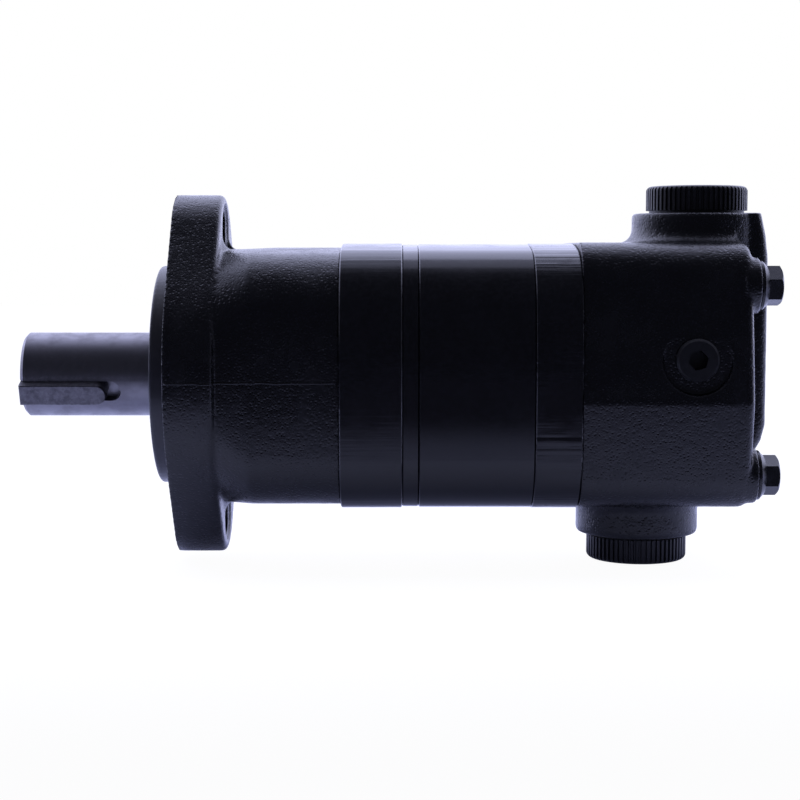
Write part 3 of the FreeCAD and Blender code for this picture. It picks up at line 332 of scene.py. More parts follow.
class MaterialBench:
    """A material under construction: its node tree and small helpers."""

    def __init__(self, name: str) -> None:
        """Starts a material with a Principled shader.

        Args:
            name: the material's name.
        """
        self.material = bpy.data.materials.new(name)
        self.material.use_nodes = True
        self.tree = self.material.node_tree
        self.shader = self.tree.nodes["Principled BSDF"]

    def effect(self, effect: Effect, **values: float) -> bpy.types.Node:
        """Places a shared group.

        Args:
            effect: the group wanted.
            **values: the value of each of its inputs.

        Returns:
            The group's node.
        """
        node = self.tree.nodes.new("ShaderNodeGroup")
        node.node_tree = GROUPS.get(effect)
        for name, value in values.items():
            node.inputs[name].default_value = value
        return node

    def blend(
        self,
        mask: bpy.types.NodeSocket,
        first: Colour | bpy.types.NodeSocket,
        second: Colour | bpy.types.NodeSocket,
    ) -> bpy.types.NodeSocket:
        """Mixes two colours by a mask.

        Args:
            mask: 0 gives the first colour, 1 the second.
            first: colour or socket.
            second: colour or socket.

        Returns:
            The mixed colour's socket.
        """
        node = self.tree.nodes.new("ShaderNodeMix")
        node.data_type = "RGBA"
        self.tree.links.new(mask, node.inputs["Factor"])
        for socket, value in zip(colour_sockets(node.inputs), (first, second)):
            if isinstance(value, bpy.types.NodeSocket):
                self.tree.links.new(value, socket)
            else:
                socket.default_value = (*value, 1.0)
        return colour_sockets(node.outputs)[0]

    def vary(self, socket_name: str, mask: bpy.types.NodeSocket, low: float, high: float) -> None:
        """Drives a shader input between two values by a mask.

        Args:
            socket_name: the shader's input.
            mask: from 0 to 1.
            low: value where the mask is 0.
            high: value where the mask is 1.
        """
        node = self.tree.nodes.new("ShaderNodeMapRange")
        node.inputs["To Min"].default_value = low
        node.inputs["To Max"].default_value = high
        self.tree.links.new(mask, node.inputs["Value"])
        self.tree.links.new(node.outputs["Result"], self.shader.inputs[socket_name])

    def bump(self, *layers: tuple[bpy.types.NodeSocket, float]) -> None:
        """Stacks bump layers on the shader's normal.

        Args:
            *layers: each a height socket and its depth in metres.
        """
        previous = None
        for height, depth in layers:
            node = self.tree.nodes.new("ShaderNodeBump")
            node.inputs["Strength"].default_value = 1.0
            node.inputs["Distance"].default_value = depth
            self.tree.links.new(height, node.inputs["Height"])
            if previous is not None:
                self.tree.links.new(previous, node.inputs["Normal"])
            previous = node.outputs["Normal"]
        self.tree.links.new(previous, self.shader.inputs["Normal"])

    def colour(self, socket: bpy.types.NodeSocket) -> None:
        """Feeds the base colour.

        Args:
            socket: the colour's socket.
        """
        self.tree.links.new(socket, self.shader.inputs["Base Color"])


# ---------------------------------------------------------------- finishes

@dataclass(frozen=True)
class PaintFinish:
    """Black gloss paint over iron, with the surface that shows through it."""

    name: str
    colour: Colour = (0.0042, 0.0044, 0.0062)
    dust: Colour = (0.02, 0.02, 0.026)
    roughness: tuple[float, float] = (0.16, 0.3)
    grain_scale: float = 1000.0
    grain_depth: float = 0.00006
    pits: float = 0.6
    streak_density: float = 1500.0
    streak_depth: float = 0.0
    streak_runs: float = 0.4
    patch_gain: float = 1.5
    wear: float = 0.25
    ior: float = 1.5

    def make(self) -> bpy.types.Material:
        """Builds the material.

        Returns:
            The finished material.
        """
        bench = MaterialBench(self.name)
        grain = bench.effect(Effect.CAST_GRAIN, Scale=self.grain_scale, Pits=self.pits)
        patches = bench.effect(Effect.BLOTCHES, Scale=70.0, Low=0.4, High=0.75)
        wear = bench.effect(Effect.EDGE_WEAR, Reach=0.06, Amount=self.wear)
        tone = bench.blend(patches.outputs["Mask"], self.colour,
                           tuple(self.patch_gain * part for part in self.colour))
        bench.colour(bench.blend(wear.outputs["Mask"], tone, self.dust))
        bench.vary("Roughness", patches.outputs["Mask"], *self.roughness)
        layers = [(grain.outputs["Height"], self.grain_depth)]
        if self.streak_depth > 0:
            streaks = bench.effect(
                Effect.AXIAL_STREAKS, Density=self.streak_density, Runs=self.streak_runs
            )
            layers.append((streaks.outputs["Height"], self.streak_depth))
        bench.bump(*layers)
        bench.shader.inputs["IOR"].default_value = self.ior
        return bench.material


@dataclass(frozen=True)
class SteelFinish:
    """Bare steel with machining lines, stains and rubbed edges."""

    name: str
    colour: Colour
    stain: Colour
    roughness: tuple[float, float] = (0.26, 0.42)
    stain_scale: float = 130.0
    line_density: float = 3000.0
    line_depth: float = 0.000004
    grain_depth: float = 0.000004
    metallic: float = 1.0
    wear: float = 0.5
    wear_gain: float = 1.35

    def make(self) -> bpy.types.Material:
        """Builds the material.

        Returns:
            The finished material.
        """
        bench = MaterialBench(self.name)
        stains = bench.effect(Effect.BLOTCHES, Scale=self.stain_scale, Low=0.38, High=0.68)
        lines = bench.effect(Effect.AXIAL_STREAKS, Density=self.line_density, Runs=0.2)
        grain = bench.effect(Effect.CAST_GRAIN, Scale=2600.0, Pits=0.3)
        wear = bench.effect(Effect.EDGE_WEAR, Reach=0.05, Amount=self.wear)
        bright = tuple(min(1.0, self.wear_gain * part) for part in self.colour)
        tone = bench.blend(stains.outputs["Mask"], self.colour, self.stain)
        bench.colour(bench.blend(wear.outputs["Mask"], tone, bright))
        bench.vary("Roughness", stains.outputs["Mask"], *self.roughness)
        bench.bump((grain.outputs["Height"], self.grain_depth),
                   (lines.outputs["Height"], self.line_depth))
        bench.shader.inputs["Metallic"].default_value = self.metallic
        return bench.material


@dataclass(frozen=True)
class MouldedFinish:
    """Rubber or plastic, moulded with a fine texture."""

    name: str
    colour: Colour
    bloom: Colour
    roughness: tuple[float, float] = (0.45, 0.6)
    grain_scale: float = 2200.0
    grain_depth: float = 0.00001
    wear_gain: float = 1.6
    ior: float = 1.46

    def make(self) -> bpy.types.Material:
        """Builds the material.

        Returns:
            The finished material.
        """
        bench = MaterialBench(self.name)
        bloom = bench.effect(Effect.BLOTCHES, Scale=160.0, Low=0.42, High=0.8)
        grain = bench.effect(Effect.CAST_GRAIN, Scale=self.grain_scale, Pits=0.4)
        wear = bench.effect(Effect.EDGE_WEAR, Reach=0.05, Amount=0.3)
        tone = bench.blend(bloom.outputs["Mask"], self.colour, self.bloom)
        light = tuple(self.wear_gain * part for part in self.bloom)
        bench.colour(bench.blend(wear.outputs["Mask"], tone, light))
        bench.vary("Roughness", bloom.outputs["Mask"], *self.roughness)
        bench.bump((grain.outputs["Height"], self.grain_depth))
        bench.shader.inputs["IOR"].default_value = self.ior
        return bench.material


class Finish(Enum):
    """Every finish on the motor."""

    CASTING = PaintFinish("casting_paint", roughness=(0.2, 0.34), grain_scale=1500.0,
                          grain_depth=0.00012, pits=0.8)
    SPACER = PaintFinish("spacer_plate_paint", grain_scale=1400.0, grain_depth=0.000012,
                         pits=0.2, streak_density=1300.0, streak_depth=0.00006,
                         streak_runs=0.5, roughness=(0.12, 0.22))
    SMOOTH_PLATE = PaintFinish("smooth_plate_paint", grain_scale=1200.0,
                               grain_depth=0.00001, pits=0.15, streak_density=1100.0,
                               streak_depth=0.000012, streak_runs=0.5,
                               roughness=(0.1, 0.2))
    VALVE_PLATE = PaintFinish("valve_plate_paint", grain_scale=1300.0,
                              grain_depth=0.000012, pits=0.2, streak_density=1000.0,
                              streak_depth=0.00015, streak_runs=0.9,
                              roughness=(0.1, 0.2))
    BOLT = PaintFinish("bolt_paint", grain_scale=1500.0, grain_depth=0.000012, pits=0.2,
                       roughness=(0.2, 0.34), wear=0.7)
    PLUG = PaintFinish("plug_paint", grain_scale=1500.0, grain_depth=0.00002, pits=0.3,
                       roughness=(0.42, 0.55), wear=0.1)
    PILOT = PaintFinish("pilot_paint", colour=(0.03, 0.03, 0.037), grain_scale=1800.0,
                        grain_depth=0.000008, pits=0.2, roughness=(0.3, 0.42), wear=0.5)
    SHAFT = SteelFinish("shaft_steel", (0.21, 0.207, 0.225), (0.175, 0.17, 0.185),
                        roughness=(0.34, 0.46))
    KEY = SteelFinish("key_steel", (0.12, 0.117, 0.128), (0.09, 0.087, 0.095),
                      roughness=(0.42, 0.55), grain_depth=0.000012, stain_scale=260.0)
    BEARING = SteelFinish("bearing_steel", (0.56, 0.56, 0.57), (0.46, 0.45, 0.45),
                          roughness=(0.12, 0.22), wear=0.2)
    CAGE = SteelFinish("cage_steel", (0.36, 0.33, 0.29), (0.27, 0.24, 0.21),
                       roughness=(0.3, 0.45))
    GEAR = SteelFinish("gear_steel", (0.47, 0.47, 0.48), (0.38, 0.37, 0.37),
                       roughness=(0.14, 0.26), wear=0.2)
    DRIVE = SteelFinish("drive_steel", (0.2, 0.19, 0.185), (0.13, 0.12, 0.115),
                        roughness=(0.32, 0.5))
    VALVE_IRON = SteelFinish("valve_iron", (0.34, 0.34, 0.35), (0.26, 0.26, 0.26),
                             roughness=(0.2, 0.34))
    WASHER = SteelFinish("washer_steel", (0.5, 0.5, 0.51), (0.42, 0.41, 0.41),
                         roughness=(0.2, 0.3))
    SEAL = MouldedFinish("seal_rubber", (0.012, 0.012, 0.013), (0.024, 0.024, 0.026))
    SEAL_RING = MouldedFinish("seal_ring_rubber", (0.04, 0.017, 0.011),
                              (0.055, 0.026, 0.018), roughness=(0.35, 0.5))
    CAP = MouldedFinish("cap_plastic", (0.009, 0.009, 0.011), (0.016, 0.016, 0.02),
                        roughness=(0.34, 0.46), grain_depth=0.000008)


MADE: dict[Finish, bpy.types.Material] = {}


def material_of(finish: Finish) -> bpy.types.Material:
    """Gives a finish's material, and makes it on first use.

    Args:
        finish: the finish wanted.

    Returns:
        Its material.
    """
    if finish not in MADE:
        MADE[finish] = finish.value.make()
    return MADE[finish]


def dress(piece: bpy.types.Object, finish: Finish) -> None:
    """Puts a finish on a piece.

    Args:
        piece: the object to dress.
        finish: its finish.
    """
    piece.data.materials.clear()
    piece.data.materials.append(material_of(finish))


def soften_shading(piece: bpy.types.Object, degrees: float = 35.0) -> None:
    """Shades curved faces smoothly and keeps edges sharper than an angle.

    Args:
        piece: the object to shade.
        degrees: the smallest angle that stays sharp.
    """
    piece.data.shade_smooth()
    piece.data.set_sharp_from_angle(angle=math.radians(degrees))


# ---------------------------------------------------------------- castings

def neighbour_mean(values: np.ndarray, edges: np.ndarray) -> np.ndarray:
    """Averages a value over each point's neighbours.

    Args:
        values: one value for each point.
        edges: pairs of point numbers.

    Returns:
        One mean for each point.
    """
    count = len(values)
    total = np.bincount(edges[:, 0], values[edges[:, 1]], count)
    total += np.bincount(edges[:, 1], values[edges[:, 0]], count)
    return total / np.bincount(edges.ravel(), minlength=count)


@dataclass
class CastSkin:
    """A casting as the foundry leaves it: rounded corners and a faintly uneven skin."""

    node: str
    body: str
    slot: str
    voxel: float = 0.6 * MM
    smoothing_rounds: int = 5
    smoothing_share: float = 0.5
    unevenness: float = 0.045 * MM
    wave_length: float = 3.0 * MM
    ripple_ratio: float = 2.6
    ripple_share: float = 0.5
    cutter_margin: float = 0.4 * MM

    def machined(self, points: np.ndarray) -> np.ndarray:
        """Marks the points that a cutter has finished.

        Args:
            points: positions, one a row, in metres.

        Returns:
            True for each point on a machined surface.
        """
        raise NotImplementedError

    def build(self) -> bpy.types.Object:
        """Remeshes the CAD casting, rounds its corners and wrinkles its skin.

        Returns:
            The casting's object.
        """
        piece = self._voxel_copy()
        mesh = piece.data
        points = np.empty(len(mesh.vertices) * 3)
        mesh.vertices.foreach_get("co", points)
        points = points.reshape(-1, 3)
        edges = np.empty(len(mesh.edges) * 2, dtype=np.int64)
        mesh.edges.foreach_get("vertices", edges)
        edges = edges.reshape(-1, 2)
        free = 1.0 - self.machined(points).astype(float)
        points = self._smoothed(points, edges, free)
        mesh.vertices.foreach_set("co", points.ravel())
        mesh.update()
        self._wrinkle(mesh, points, edges, free)
        mesh.shade_smooth()
        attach(piece, self.body)
        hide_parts(self.node)
        dress(piece, Finish.CASTING)
        return piece

    def _voxel_copy(self) -> bpy.types.Object:
        """Copies the CAD node into an even mesh.

        Returns:
            The new object, with its modifier already worked in.
        """
        source = frame["nodes"][self.node].data.copy()
        piece = bpy.data.objects.new(self.node + "_skin", source)
        bpy.context.scene.collection.objects.link(piece)
        modifier = piece.modifiers.new("voxels", "REMESH")
        modifier.mode = "VOXEL"
        modifier.voxel_size = self.voxel
        graph = bpy.context.evaluated_depsgraph_get()
        final = bpy.data.meshes.new_from_object(piece.evaluated_get(graph))
        piece.modifiers.clear()
        piece.data = final
        bpy.data.meshes.remove(source)
        return piece

    def _smoothed(self, points: np.ndarray, edges: np.ndarray, free: np.ndarray) -> np.ndarray:
        """Moves each free point towards its neighbours' middle, round after round.

        Args:
            points: positions, one a row.
            edges: pairs of point numbers.
            free: 1 where a point may move, 0 where it may not.

        Returns:
            The new positions.
        """
        share = (self.smoothing_share * free)[:, None]
        for _ in range(self.smoothing_rounds):
            middle = np.stack([neighbour_mean(column, edges) for column in points.T], axis=1)
            points = points + share * (middle - points)
        return points

    def _wrinkle(
        self, mesh: bpy.types.Mesh, points: np.ndarray, edges: np.ndarray, free: np.ndarray
    ) -> None:
        """Lifts and sinks the cast skin along its normals.

        Args:
            mesh: the mesh to change.
            points: its positions.
            edges: pairs of point numbers.
            free: 1 where the skin is cast, 0 where it is machined.
        """
        fade_rounds, least_fade = 2, 0.05
        soft = free.copy()
        for _ in range(fade_rounds):
            soft = np.minimum(soft, neighbour_mean(soft, edges))
        normals = np.empty(len(points) * 3)
        mesh.vertices.foreach_get("normal", normals)
        normals = normals.reshape(-1, 3)
        scale = 1.0 / self.wave_length
        lift = np.zeros(len(points))
        for index in np.flatnonzero(soft > least_fade):
            spot = Vector(points[index]) * scale
            ripple = noise.noise(spot * self.ripple_ratio)
            lift[index] = noise.noise(spot) + self.ripple_share * ripple
        points = points + normals * (lift * soft * self.unevenness)[:, None]
        mesh.vertices.foreach_set("co", points.ravel())
        mesh.update()


def mount_place(name: str) -> tuple[float, float, float]:
    """Gives the place of one of the record's mounts, in metres."""
    mounts = frame["record"]["mounts"]
    return tuple(next(mount["pos_m"] for mount in mounts if mount["name"] == name))


def distance_2d(first: np.ndarray, second: np.ndarray, centre: tuple[float, float]) -> np.ndarray:
    """Distances from a line, given the two coordinates square to it.

    Args:
        first: first coordinate of each point.
        second: second coordinate of each point.
        centre: where the line crosses that plane.

    Returns:
        One distance for each point.
    """
    return np.hypot(first - centre[0], second - centre[1])


@dataclass
class FrontHousing(CastSkin):
    """The flanged casting, with the thin parting line along its sides."""

    node: str = "front_housing"
    body: str = "housing"
    slot: str = "black_casting_paint"
    slot_centre: float = 53.2 * MM
    relief_radius: float = 11.3 * MM
    spotface_x: float = 17.2 * MM
    relief_end_x: float = 29.0 * MM
    bore_radius: float = 38.2 * MM
    bore_start_x: float = -7.0 * MM
    front_margin: float = 0.3 * MM
    seam_width: float = 1.0 * MM
    seam_height: float = 0.3 * MM
    seam_pitch: float = 0.9 * MM
    seam_ends: float = 0.6 * MM
    seam_waver: float = 0.4 * MM
    seam_outside_y: float = 80.0 * MM
    waver_rate: float = 160.0
    swell_rate: float = 420.0
    swell_mean: float = 0.75
    swell_share: float = 0.6
    seam_profile: tuple[tuple[float, float], ...] = (
        (-0.5, -0.15), (-0.2, 0.75), (0.2, 1.0), (0.5, -0.15))

    def machined(self, points: np.ndarray) -> np.ndarray:
        """Marks the mounting face, pilot, bores, spotfaces and joint face.

        Args:
            points: positions, one a row, in metres.

        Returns:
            True for each point on a machined surface.
        """
        x, y, z = points.T
        radius = np.hypot(y, z)
        slot_distance = distance_2d(y, np.abs(z), (0.0, self.slot_centre))
        spotface = slot_distance < self.relief_radius
        spotface &= (x > self.spotface_x - self.cutter_margin) & (x < self.relief_end_x)
        bore = (radius < self.bore_radius) & (x > self.bore_start_x)
        front = x < self.front_margin
        joint = x > self._rear_face_x() - self.cutter_margin
        return spotface | bore | front | joint

    def _rear_face_x(self) -> float:
        """Where the casting meets the first plate."""
        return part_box(self.node)[1].x

    def turn_pilot(self, casting: bpy.types.Object) -> int:
        """Gives the turned pilot its satin finish.

        Args:
            casting: the casting's object.

        Returns:
            How many faces it covers.
        """
        casting.data.materials.append(material_of(Finish.PILOT))
        count = len(casting.data.polygons)
        middles = np.empty(count * 3)
        casting.data.polygons.foreach_get("center", middles)
        middles = middles.reshape(-1, 3)
        turned = (middles[:, 0] < -self.front_margin).astype(np.int32)
        casting.data.polygons.foreach_set("material_index", turned)
        casting.data.update()
        return int(turned.sum())

    def add_seam(self, casting: bpy.types.Object) -> bpy.types.Object:
        """Lays the parting line's low ridge along both sides of the casting.

        Args:
            casting: the casting's object.

        Returns:
            The ridge's object.
        """
        surface = BVHTree.FromObject(casting, bpy.context.evaluated_depsgraph_get())
        steps = int((self._rear_face_x() - 2 * self.seam_ends) / self.seam_pitch)
        around = len(self.seam_profile)
        shape = bmesh.new()
        for side in (-1, 1):
            rows = [self._seam_row(shape, surface, side, self.seam_ends + step * self.seam_pitch)
                    for step in range(steps + 1)]
            for before, after in zip(rows, rows[1:]):
                for index in range(around):
                    other = (index + 1) % around
                    shape.faces.new((before[index], before[other], after[other], after[index]))
            shape.faces.new(rows[0][::-1])
            shape.faces.new(rows[-1])
        bmesh.ops.recalc_face_normals(shape, faces=shape.faces)
        mesh = bpy.data.meshes.new("parting_line")
        shape.to_mesh(mesh)
        shape.free()
        ridge = bpy.data.objects.new("front_housing_parting_line", mesh)
        bpy.context.scene.collection.objects.link(ridge)
        mesh.shade_smooth()
        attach(ridge, self.body)
        dress(ridge, Finish.CASTING)
        return ridge

    def _seam_row(
        self, shape: bmesh.types.BMesh, surface: BVHTree, side: int, x: float
    ) -> list[bmesh.types.BMVert]:
        """Adds the ridge's section at one place along the casting.

        Args:
            shape: the mesh that it goes in.
            surface: the casting that it lies on.
            side: -1 for the near side, 1 for the far side.
            x: the place along the casting.

        Returns:
            The section's points.
        """
        waver = self.seam_waver * noise.noise(Vector((x * self.waver_rate, side * 3.1, 0.0)))
        swell = noise.noise(Vector((x * self.swell_rate, 7, side)))
        height = self.seam_height * (self.swell_mean + self.swell_share * swell)
        row = []
        for across, lift in self.seam_profile:
            z = waver + across * self.seam_width
            outside = Vector((x, side * self.seam_outside_y, z))
            hit = surface.ray_cast(outside, Vector((0, -side, 0)))[0]
            row.append(shape.verts.new((x, hit.y + side * lift * height, z)))
        return row


@dataclass
class ValveHousing(CastSkin):
    """The rear casting, which carries the two ports, the drain and the bolt seats."""

    node: str = "valve_housing"
    body: str = "housing"
    slot: str = "black_casting_paint"
    port_face_margin: float = 0.35 * MM
    port_radius: float = 13.9 * MM
    cavity_radius: float = 35.5 * MM
    cavity_end_x: float = 206.0 * MM
    rear_bore_radius: float = 18.5 * MM
    rear_wall_x: float = 200.0 * MM
    drain_radius: float = 12.6 * MM
    drain_floor_y: float = -40.0 * MM
    bolt_offset: float = 34.4 * MM
    bolt_hole_radius: float = 5.2 * MM
    bolt_seat_radius: float = 9.7 * MM
    bolt_seat_x: float = 213.3 * MM

    def machined(self, points: np.ndarray) -> np.ndarray:
        """Marks the joint face, bores, port faces, drain spotface and bolt seats.

        Args:
            points: positions, one a row, in metres.

        Returns:
            True for each point on a machined surface.
        """
        x, y, z = points.T
        low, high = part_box(self.node)
        radius = np.hypot(y, z)
        joint = x < low.x + self.cutter_margin
        port_faces = z > high.z - self.port_face_margin
        port_faces |= z < low.z + self.port_face_margin
        top_port = distance_2d(x, y, mount_place("top_port")[:2]) < self.port_radius
        bottom_port = distance_2d(x, y, mount_place("bottom_port")[:2]) < self.port_radius
        ports = (top_port & (z > 0)) | (bottom_port & (z < 0))
        drain = distance_2d(x, z, mount_place("drain_port")[::2]) < self.drain_radius
        drain &= y < self.drain_floor_y
        bolts = distance_2d(np.abs(y), np.abs(z), (self.bolt_offset, self.bolt_offset))
        holes = bolts < self.bolt_hole_radius
        seats = (bolts < self.bolt_seat_radius) & (x > self.bolt_seat_x - self.cutter_margin)
        rear_wall = (x > self.rear_wall_x) & (radius > self.rear_bore_radius)
        cavity = (radius < self.cavity_radius) & (x < self.cavity_end_x) & ~rear_wall
        return joint | cavity | port_faces | ports | drain | holes | seats


# ---------------------------------------------------------------- carried-over nodes

@dataclass
class NodeSet:
    """CAD nodes whose shape stays, with one finish."""

    finish: Finish
    nodes: tuple[str, ...]

    def build(self) -> int:
        """Shades and dresses the nodes.

        Returns:
            How many nodes it dressed.
        """
        for name in self.nodes:
            node = frame["nodes"][name]
            soften_shading(node)
            dress(node, self.finish)
        return len(self.nodes)


NODE_SETS = (
    NodeSet(Finish.SPACER, ("spacer_plate",)),
    NodeSet(Finish.SMOOTH_PLATE, ("wear_plate", "gear_ring")),
    NodeSet(Finish.VALVE_PLATE, ("valve_plate",)),
    NodeSet(Finish.BOLT, ("body_bolts",)),
    NodeSet(Finish.PLUG, ("drain_plug",)),
    NodeSet(Finish.SHAFT, ("output_shaft",)),
    NodeSet(Finish.KEY, ("shaft_key",)),
    NodeSet(Finish.BEARING, tuple(
        f"{place}_bearing_{part}" for place in ("front", "rear")
        for part in ("inner_race", "outer_race", "rollers"))),
    NodeSet(Finish.CAGE, ("front_bearing_cage", "rear_bearing_cage")),
    NodeSet(Finish.GEAR, ("star", *(f"gear_roller_{number}" for number in range(1, 8)))),
    NodeSet(Finish.DRIVE, ("main_drive", "valve_drive", "drive_spacer")),
    NodeSet(Finish.VALVE_IRON, ("rotary_valve", "balance_ring")),
    NodeSet(Finish.WASHER, ("seal_backup_washer", "bearing_shim", "balance_pins")),
    NodeSet(Finish.SEAL, ("dust_seal", "shaft_seal", "drain_plug_seal", "top_cap_seal",
                          "bottom_cap_seal")),
    NodeSet(Finish.SEAL_RING, ("face_seals", "balance_seals")),
    NodeSet(Finish.CAP, ("top_port_cap", "bottom_port_cap")),
)


@dataclass
class SpringSet:
    """The balance ring's springs, kept at their CAD length; the real ones shorten as the ring
    slides back.
    """

    node: str = "balance_springs"
    body: str = "housing"
    slot: str = "washer_steel"
    joint: str = "balance_ring_float"

    def build(self) -> bpy.types.Object:
        """Copies the springs into an object of their own, then shades, places and dresses it.

        Returns:
            The springs' object.
        """
        source = frame["nodes"][self.node]
        piece = bpy.data.objects.new(self.node + "_coils", source.data.copy())
        bpy.context.scene.collection.objects.link(piece)
        soften_shading(piece)
        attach(piece, self.body)
        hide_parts(self.node)
        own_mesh(piece)
        dress(piece, Finish.WASHER)
        return piece


# ---------------------------------------------------------------- studio

@dataclass
class Studio:
    """Floor, light and camera."""

    target: tuple[float, float, float] = (84.2 * MM, 0.0, -10.0 * MM)
    distance: float = 650.0 * MM
    elevation: float = 5.0
    lens: float = 76.3
    floor_colour: Colour = (0.74, 0.77, 0.98)
    floor_size: float = 6.0
    floor_gap: float = 0.05 * MM
    front_shade: Colour = (0.045, 0.045, 0.055)
    shade_edges: tuple[float, float] = (-0.27, -0.02)
    floor_roughness: float = 0.9
    backdrop_level: float = 1.12
    backdrop_share: float = 0.86
    tint: Colour = (0.84, 0.875, 1.25)
    floor_glow: Colour = (0.12, 0.128, 0.22)
    light_steps: tuple[tuple[float, float], ...] = (
        (-1.0, 0.05), (-0.44, 0.06), (-0.2, 0.12), (0.0, 0.34), (0.1, 1.0), (0.4, 1.15),
        (0.47, 2.4), (0.6, 2.3), (1.0, 1.5))
    lamp_size: tuple[float, float] = (1.2, 0.7)
    lamp_place: tuple[float, float, float] = (0.08, 0.15, 1.0)
    lamp_energy: float = 7.0
    lamp_colour: Colour = (0.95, 0.96, 1.0)

    def build(self) -> None:
        """Makes the floor, the world, the lamp and the camera."""
        self._floor()
        self._world()
        self._lamp()
        self._camera()

    def _floor(self) -> None:
        """A pale floor under the motor, in shade in front of it."""
        half = self.floor_size / 2
        height = CAD_BOX[0][2] - self.floor_gap
        mesh = bpy.data.meshes.new("floor")
        corners = [(-half, -half), (half, -half), (half, half), (-half, half)]
        mesh.from_pydata([(x, y, height) for x, y in corners], [], [(0, 1, 2, 3)])
        floor = bpy.data.objects.new("floor", mesh)
        bpy.context.scene.collection.objects.link(floor)
        mesh.materials.append(self._paper())

    def _paper(self) -> bpy.types.Material:
        """Paper that is nearly white to the camera and glows faintly in the motor's gloss.

        Returns:
            The material.
        """
        bench = MaterialBench("floor_paper")
        tree = bench.tree
        parts = tree.nodes.new("ShaderNodeSeparateXYZ")
        place = tree.nodes.new("ShaderNodeTexCoord").outputs["Object"]
        tree.links.new(place, parts.inputs[0])
        behind = range_node(tree, parts.outputs["Y"], *self.shade_edges)
        bench.colour(bench.blend(behind, self.front_shade, self.floor_colour))
        bench.shader.inputs["Roughness"].default_value = self.floor_roughness
        path = tree.nodes.new("ShaderNodeLightPath")
        sheen = tree.nodes.new("ShaderNodeEmission")
        sheen.inputs["Color"].default_value = (*self.floor_glow, 1.0)
        mirrored = math_node(tree, "MULTIPLY", path.outputs["Is Glossy Ray"], behind)
        tree.links.new(mirrored, sheen.inputs["Strength"])
        paper = tree.nodes.new("ShaderNodeAddShader")
        tree.links.new(bench.shader.outputs[0], paper.inputs[0])
        tree.links.new(sheen.outputs[0], paper.inputs[1])
        backdrop = tree.nodes.new("ShaderNodeEmission")
        backdrop.inputs["Color"].default_value = self._grey(self.backdrop_level)
        share = math_node(tree, "MULTIPLY", path.outputs["Is Camera Ray"], self.backdrop_share)
        mix = tree.nodes.new("ShaderNodeMixShader")
        tree.links.new(share, mix.inputs[0])
        tree.links.new(paper.outputs[0], mix.inputs[1])
        tree.links.new(backdrop.outputs[0], mix.inputs[2])
        tree.links.new(mix.outputs[0], tree.nodes["Material Output"].inputs["Surface"])
        return bench.material

    def _world(self) -> None:
        """Bright behind, dim overhead, dark in front, and white to the camera itself."""
        world = bpy.data.worlds.new("studio")
        bpy.context.scene.world = world
        world.use_nodes = True
        tree = world.node_tree
        peak = max(level for _, level in self.light_steps)
        background = tree.nodes["Background"]
        background.inputs["Strength"].default_value = peak
        place = tree.nodes.new("ShaderNodeTexCoord").outputs["Generated"]
        parts = tree.nodes.new("ShaderNodeSeparateXYZ")
        tree.links.new(place, parts.inputs[0])
        depth = tree.nodes.new("ShaderNodeMapRange")
        depth.inputs["From Min"].default_value = -1.0
        tree.links.new(parts.outputs["Y"], depth.inputs["Value"])
        ramp = tree.nodes.new("ShaderNodeValToRGB")
        stops = ramp.color_ramp.elements
        stops[0].color = self._grey(self.light_steps[0][1] / peak)
        stops[-1].color = self._grey(self.light_steps[-1][1] / peak)
        for toward_back, level in self.light_steps[1:-1]:
            stops.new((toward_back + 1.0) / 2.0).color = self._grey(level / peak)
        tree.links.new(depth.outputs["Result"], ramp.inputs["Fac"])
        tinted = tree.nodes.new("ShaderNodeVectorMath")
        tinted.operation = "MULTIPLY"
        tinted.inputs[1].default_value = self.tint
        tree.links.new(ramp.outputs["Color"], tinted.inputs[0])
        path = tree.nodes.new("ShaderNodeLightPath")
        white = tree.nodes.new("ShaderNodeMix")
        white.data_type = "RGBA"
        around, seen = colour_sockets(white.inputs)
        tree.links.new(path.outputs["Is Camera Ray"], white.inputs["Factor"])
        tree.links.new(tinted.outputs[0], around)
        seen.default_value = self._grey(1.0 / peak)
        tree.links.new(colour_sockets(white.outputs)[0], background.inputs["Color"])

    @staticmethod
    def _grey(level: float) -> tuple[float, float, float, float]:
        """Makes an opaque grey.

        Args:
            level: how bright it is.

        Returns:
            The colour with its alpha.
        """
        return (level, level, level, 1.0)

    def _lamp(self) -> None:
        """One wide soft lamp overhead, which the motor's gloss doesn't show."""
        lamp = bpy.data.lights.new("soft_box", "AREA")
        lamp.shape = "RECTANGLE"
        lamp.size, lamp.size_y = self.lamp_size
        lamp.energy = self.lamp_energy
        lamp.color = self.lamp_colour
        holder = bpy.data.objects.new("soft_box", lamp)
        holder.location = self.lamp_place
        holder.visible_glossy = False
        bpy.context.scene.collection.objects.link(holder)

    def _camera(self) -> None:
        """The camera, a little above the shaft's height."""
        camera = bpy.data.cameras.new("camera")
        camera.lens = self.lens
        camera.sensor_width = 36.0
        camera.clip_start = 0.01
        holder = bpy.data.objects.new("camera", camera)
        tilt = math.radians(self.elevation)
        target = Vector(self.target)
        offset = Vector((0.0, -math.cos(tilt), math.sin(tilt))) * self.distance
        holder.location = target + offset
        holder.rotation_euler = (-offset).to_track_quat("-Z", "Y").to_euler()
        bpy.context.scene.collection.objects.link(holder)
        bpy.context.scene.camera = holder


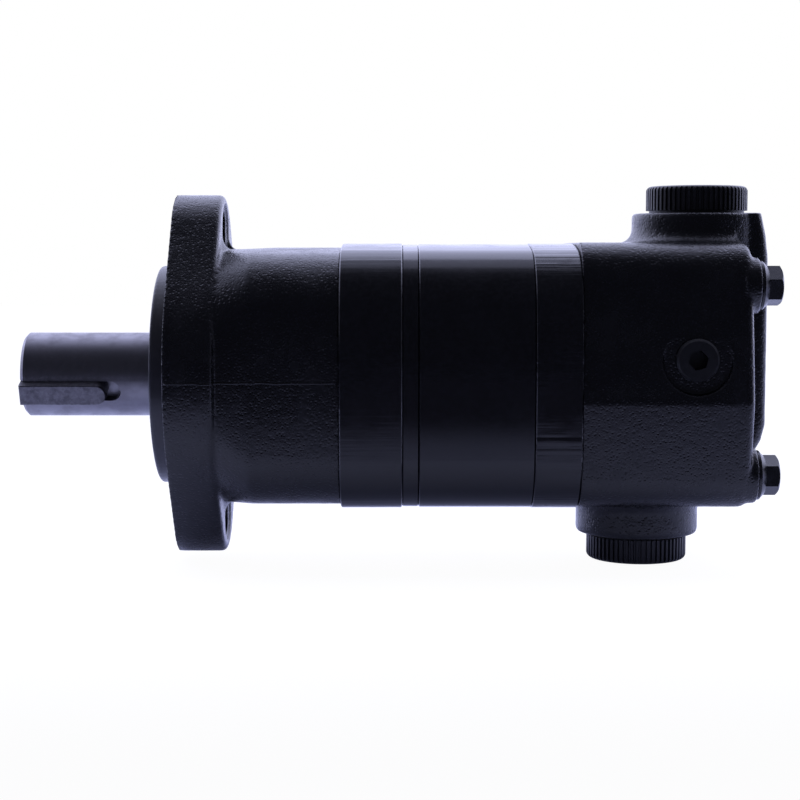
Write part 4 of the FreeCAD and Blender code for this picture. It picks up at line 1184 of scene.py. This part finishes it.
def main() -> None:
    """Builds every piece, then the studio."""
    logging.basicConfig(level=logging.INFO, format="%(message)s")
    front = FrontHousing()
    casting = front.build()
    LOG.info("front housing: %d points", len(casting.data.vertices))
    LOG.info("pilot: %d faces", front.turn_pilot(casting))
    ridge = front.add_seam(casting)
    LOG.info("parting line: %d points", len(ridge.data.vertices))
    rear = ValveHousing().build()
    LOG.info("valve housing: %d points", len(rear.data.vertices))
    for group in NODE_SETS:
        LOG.info("%s: %d nodes", group.finish.name, group.build())
    LOG.info("%s", SpringSet().build().name)
    Studio().build()
    bpy.context.scene.view_settings.view_transform = "Standard"


if __name__ == "__main__":
    main()
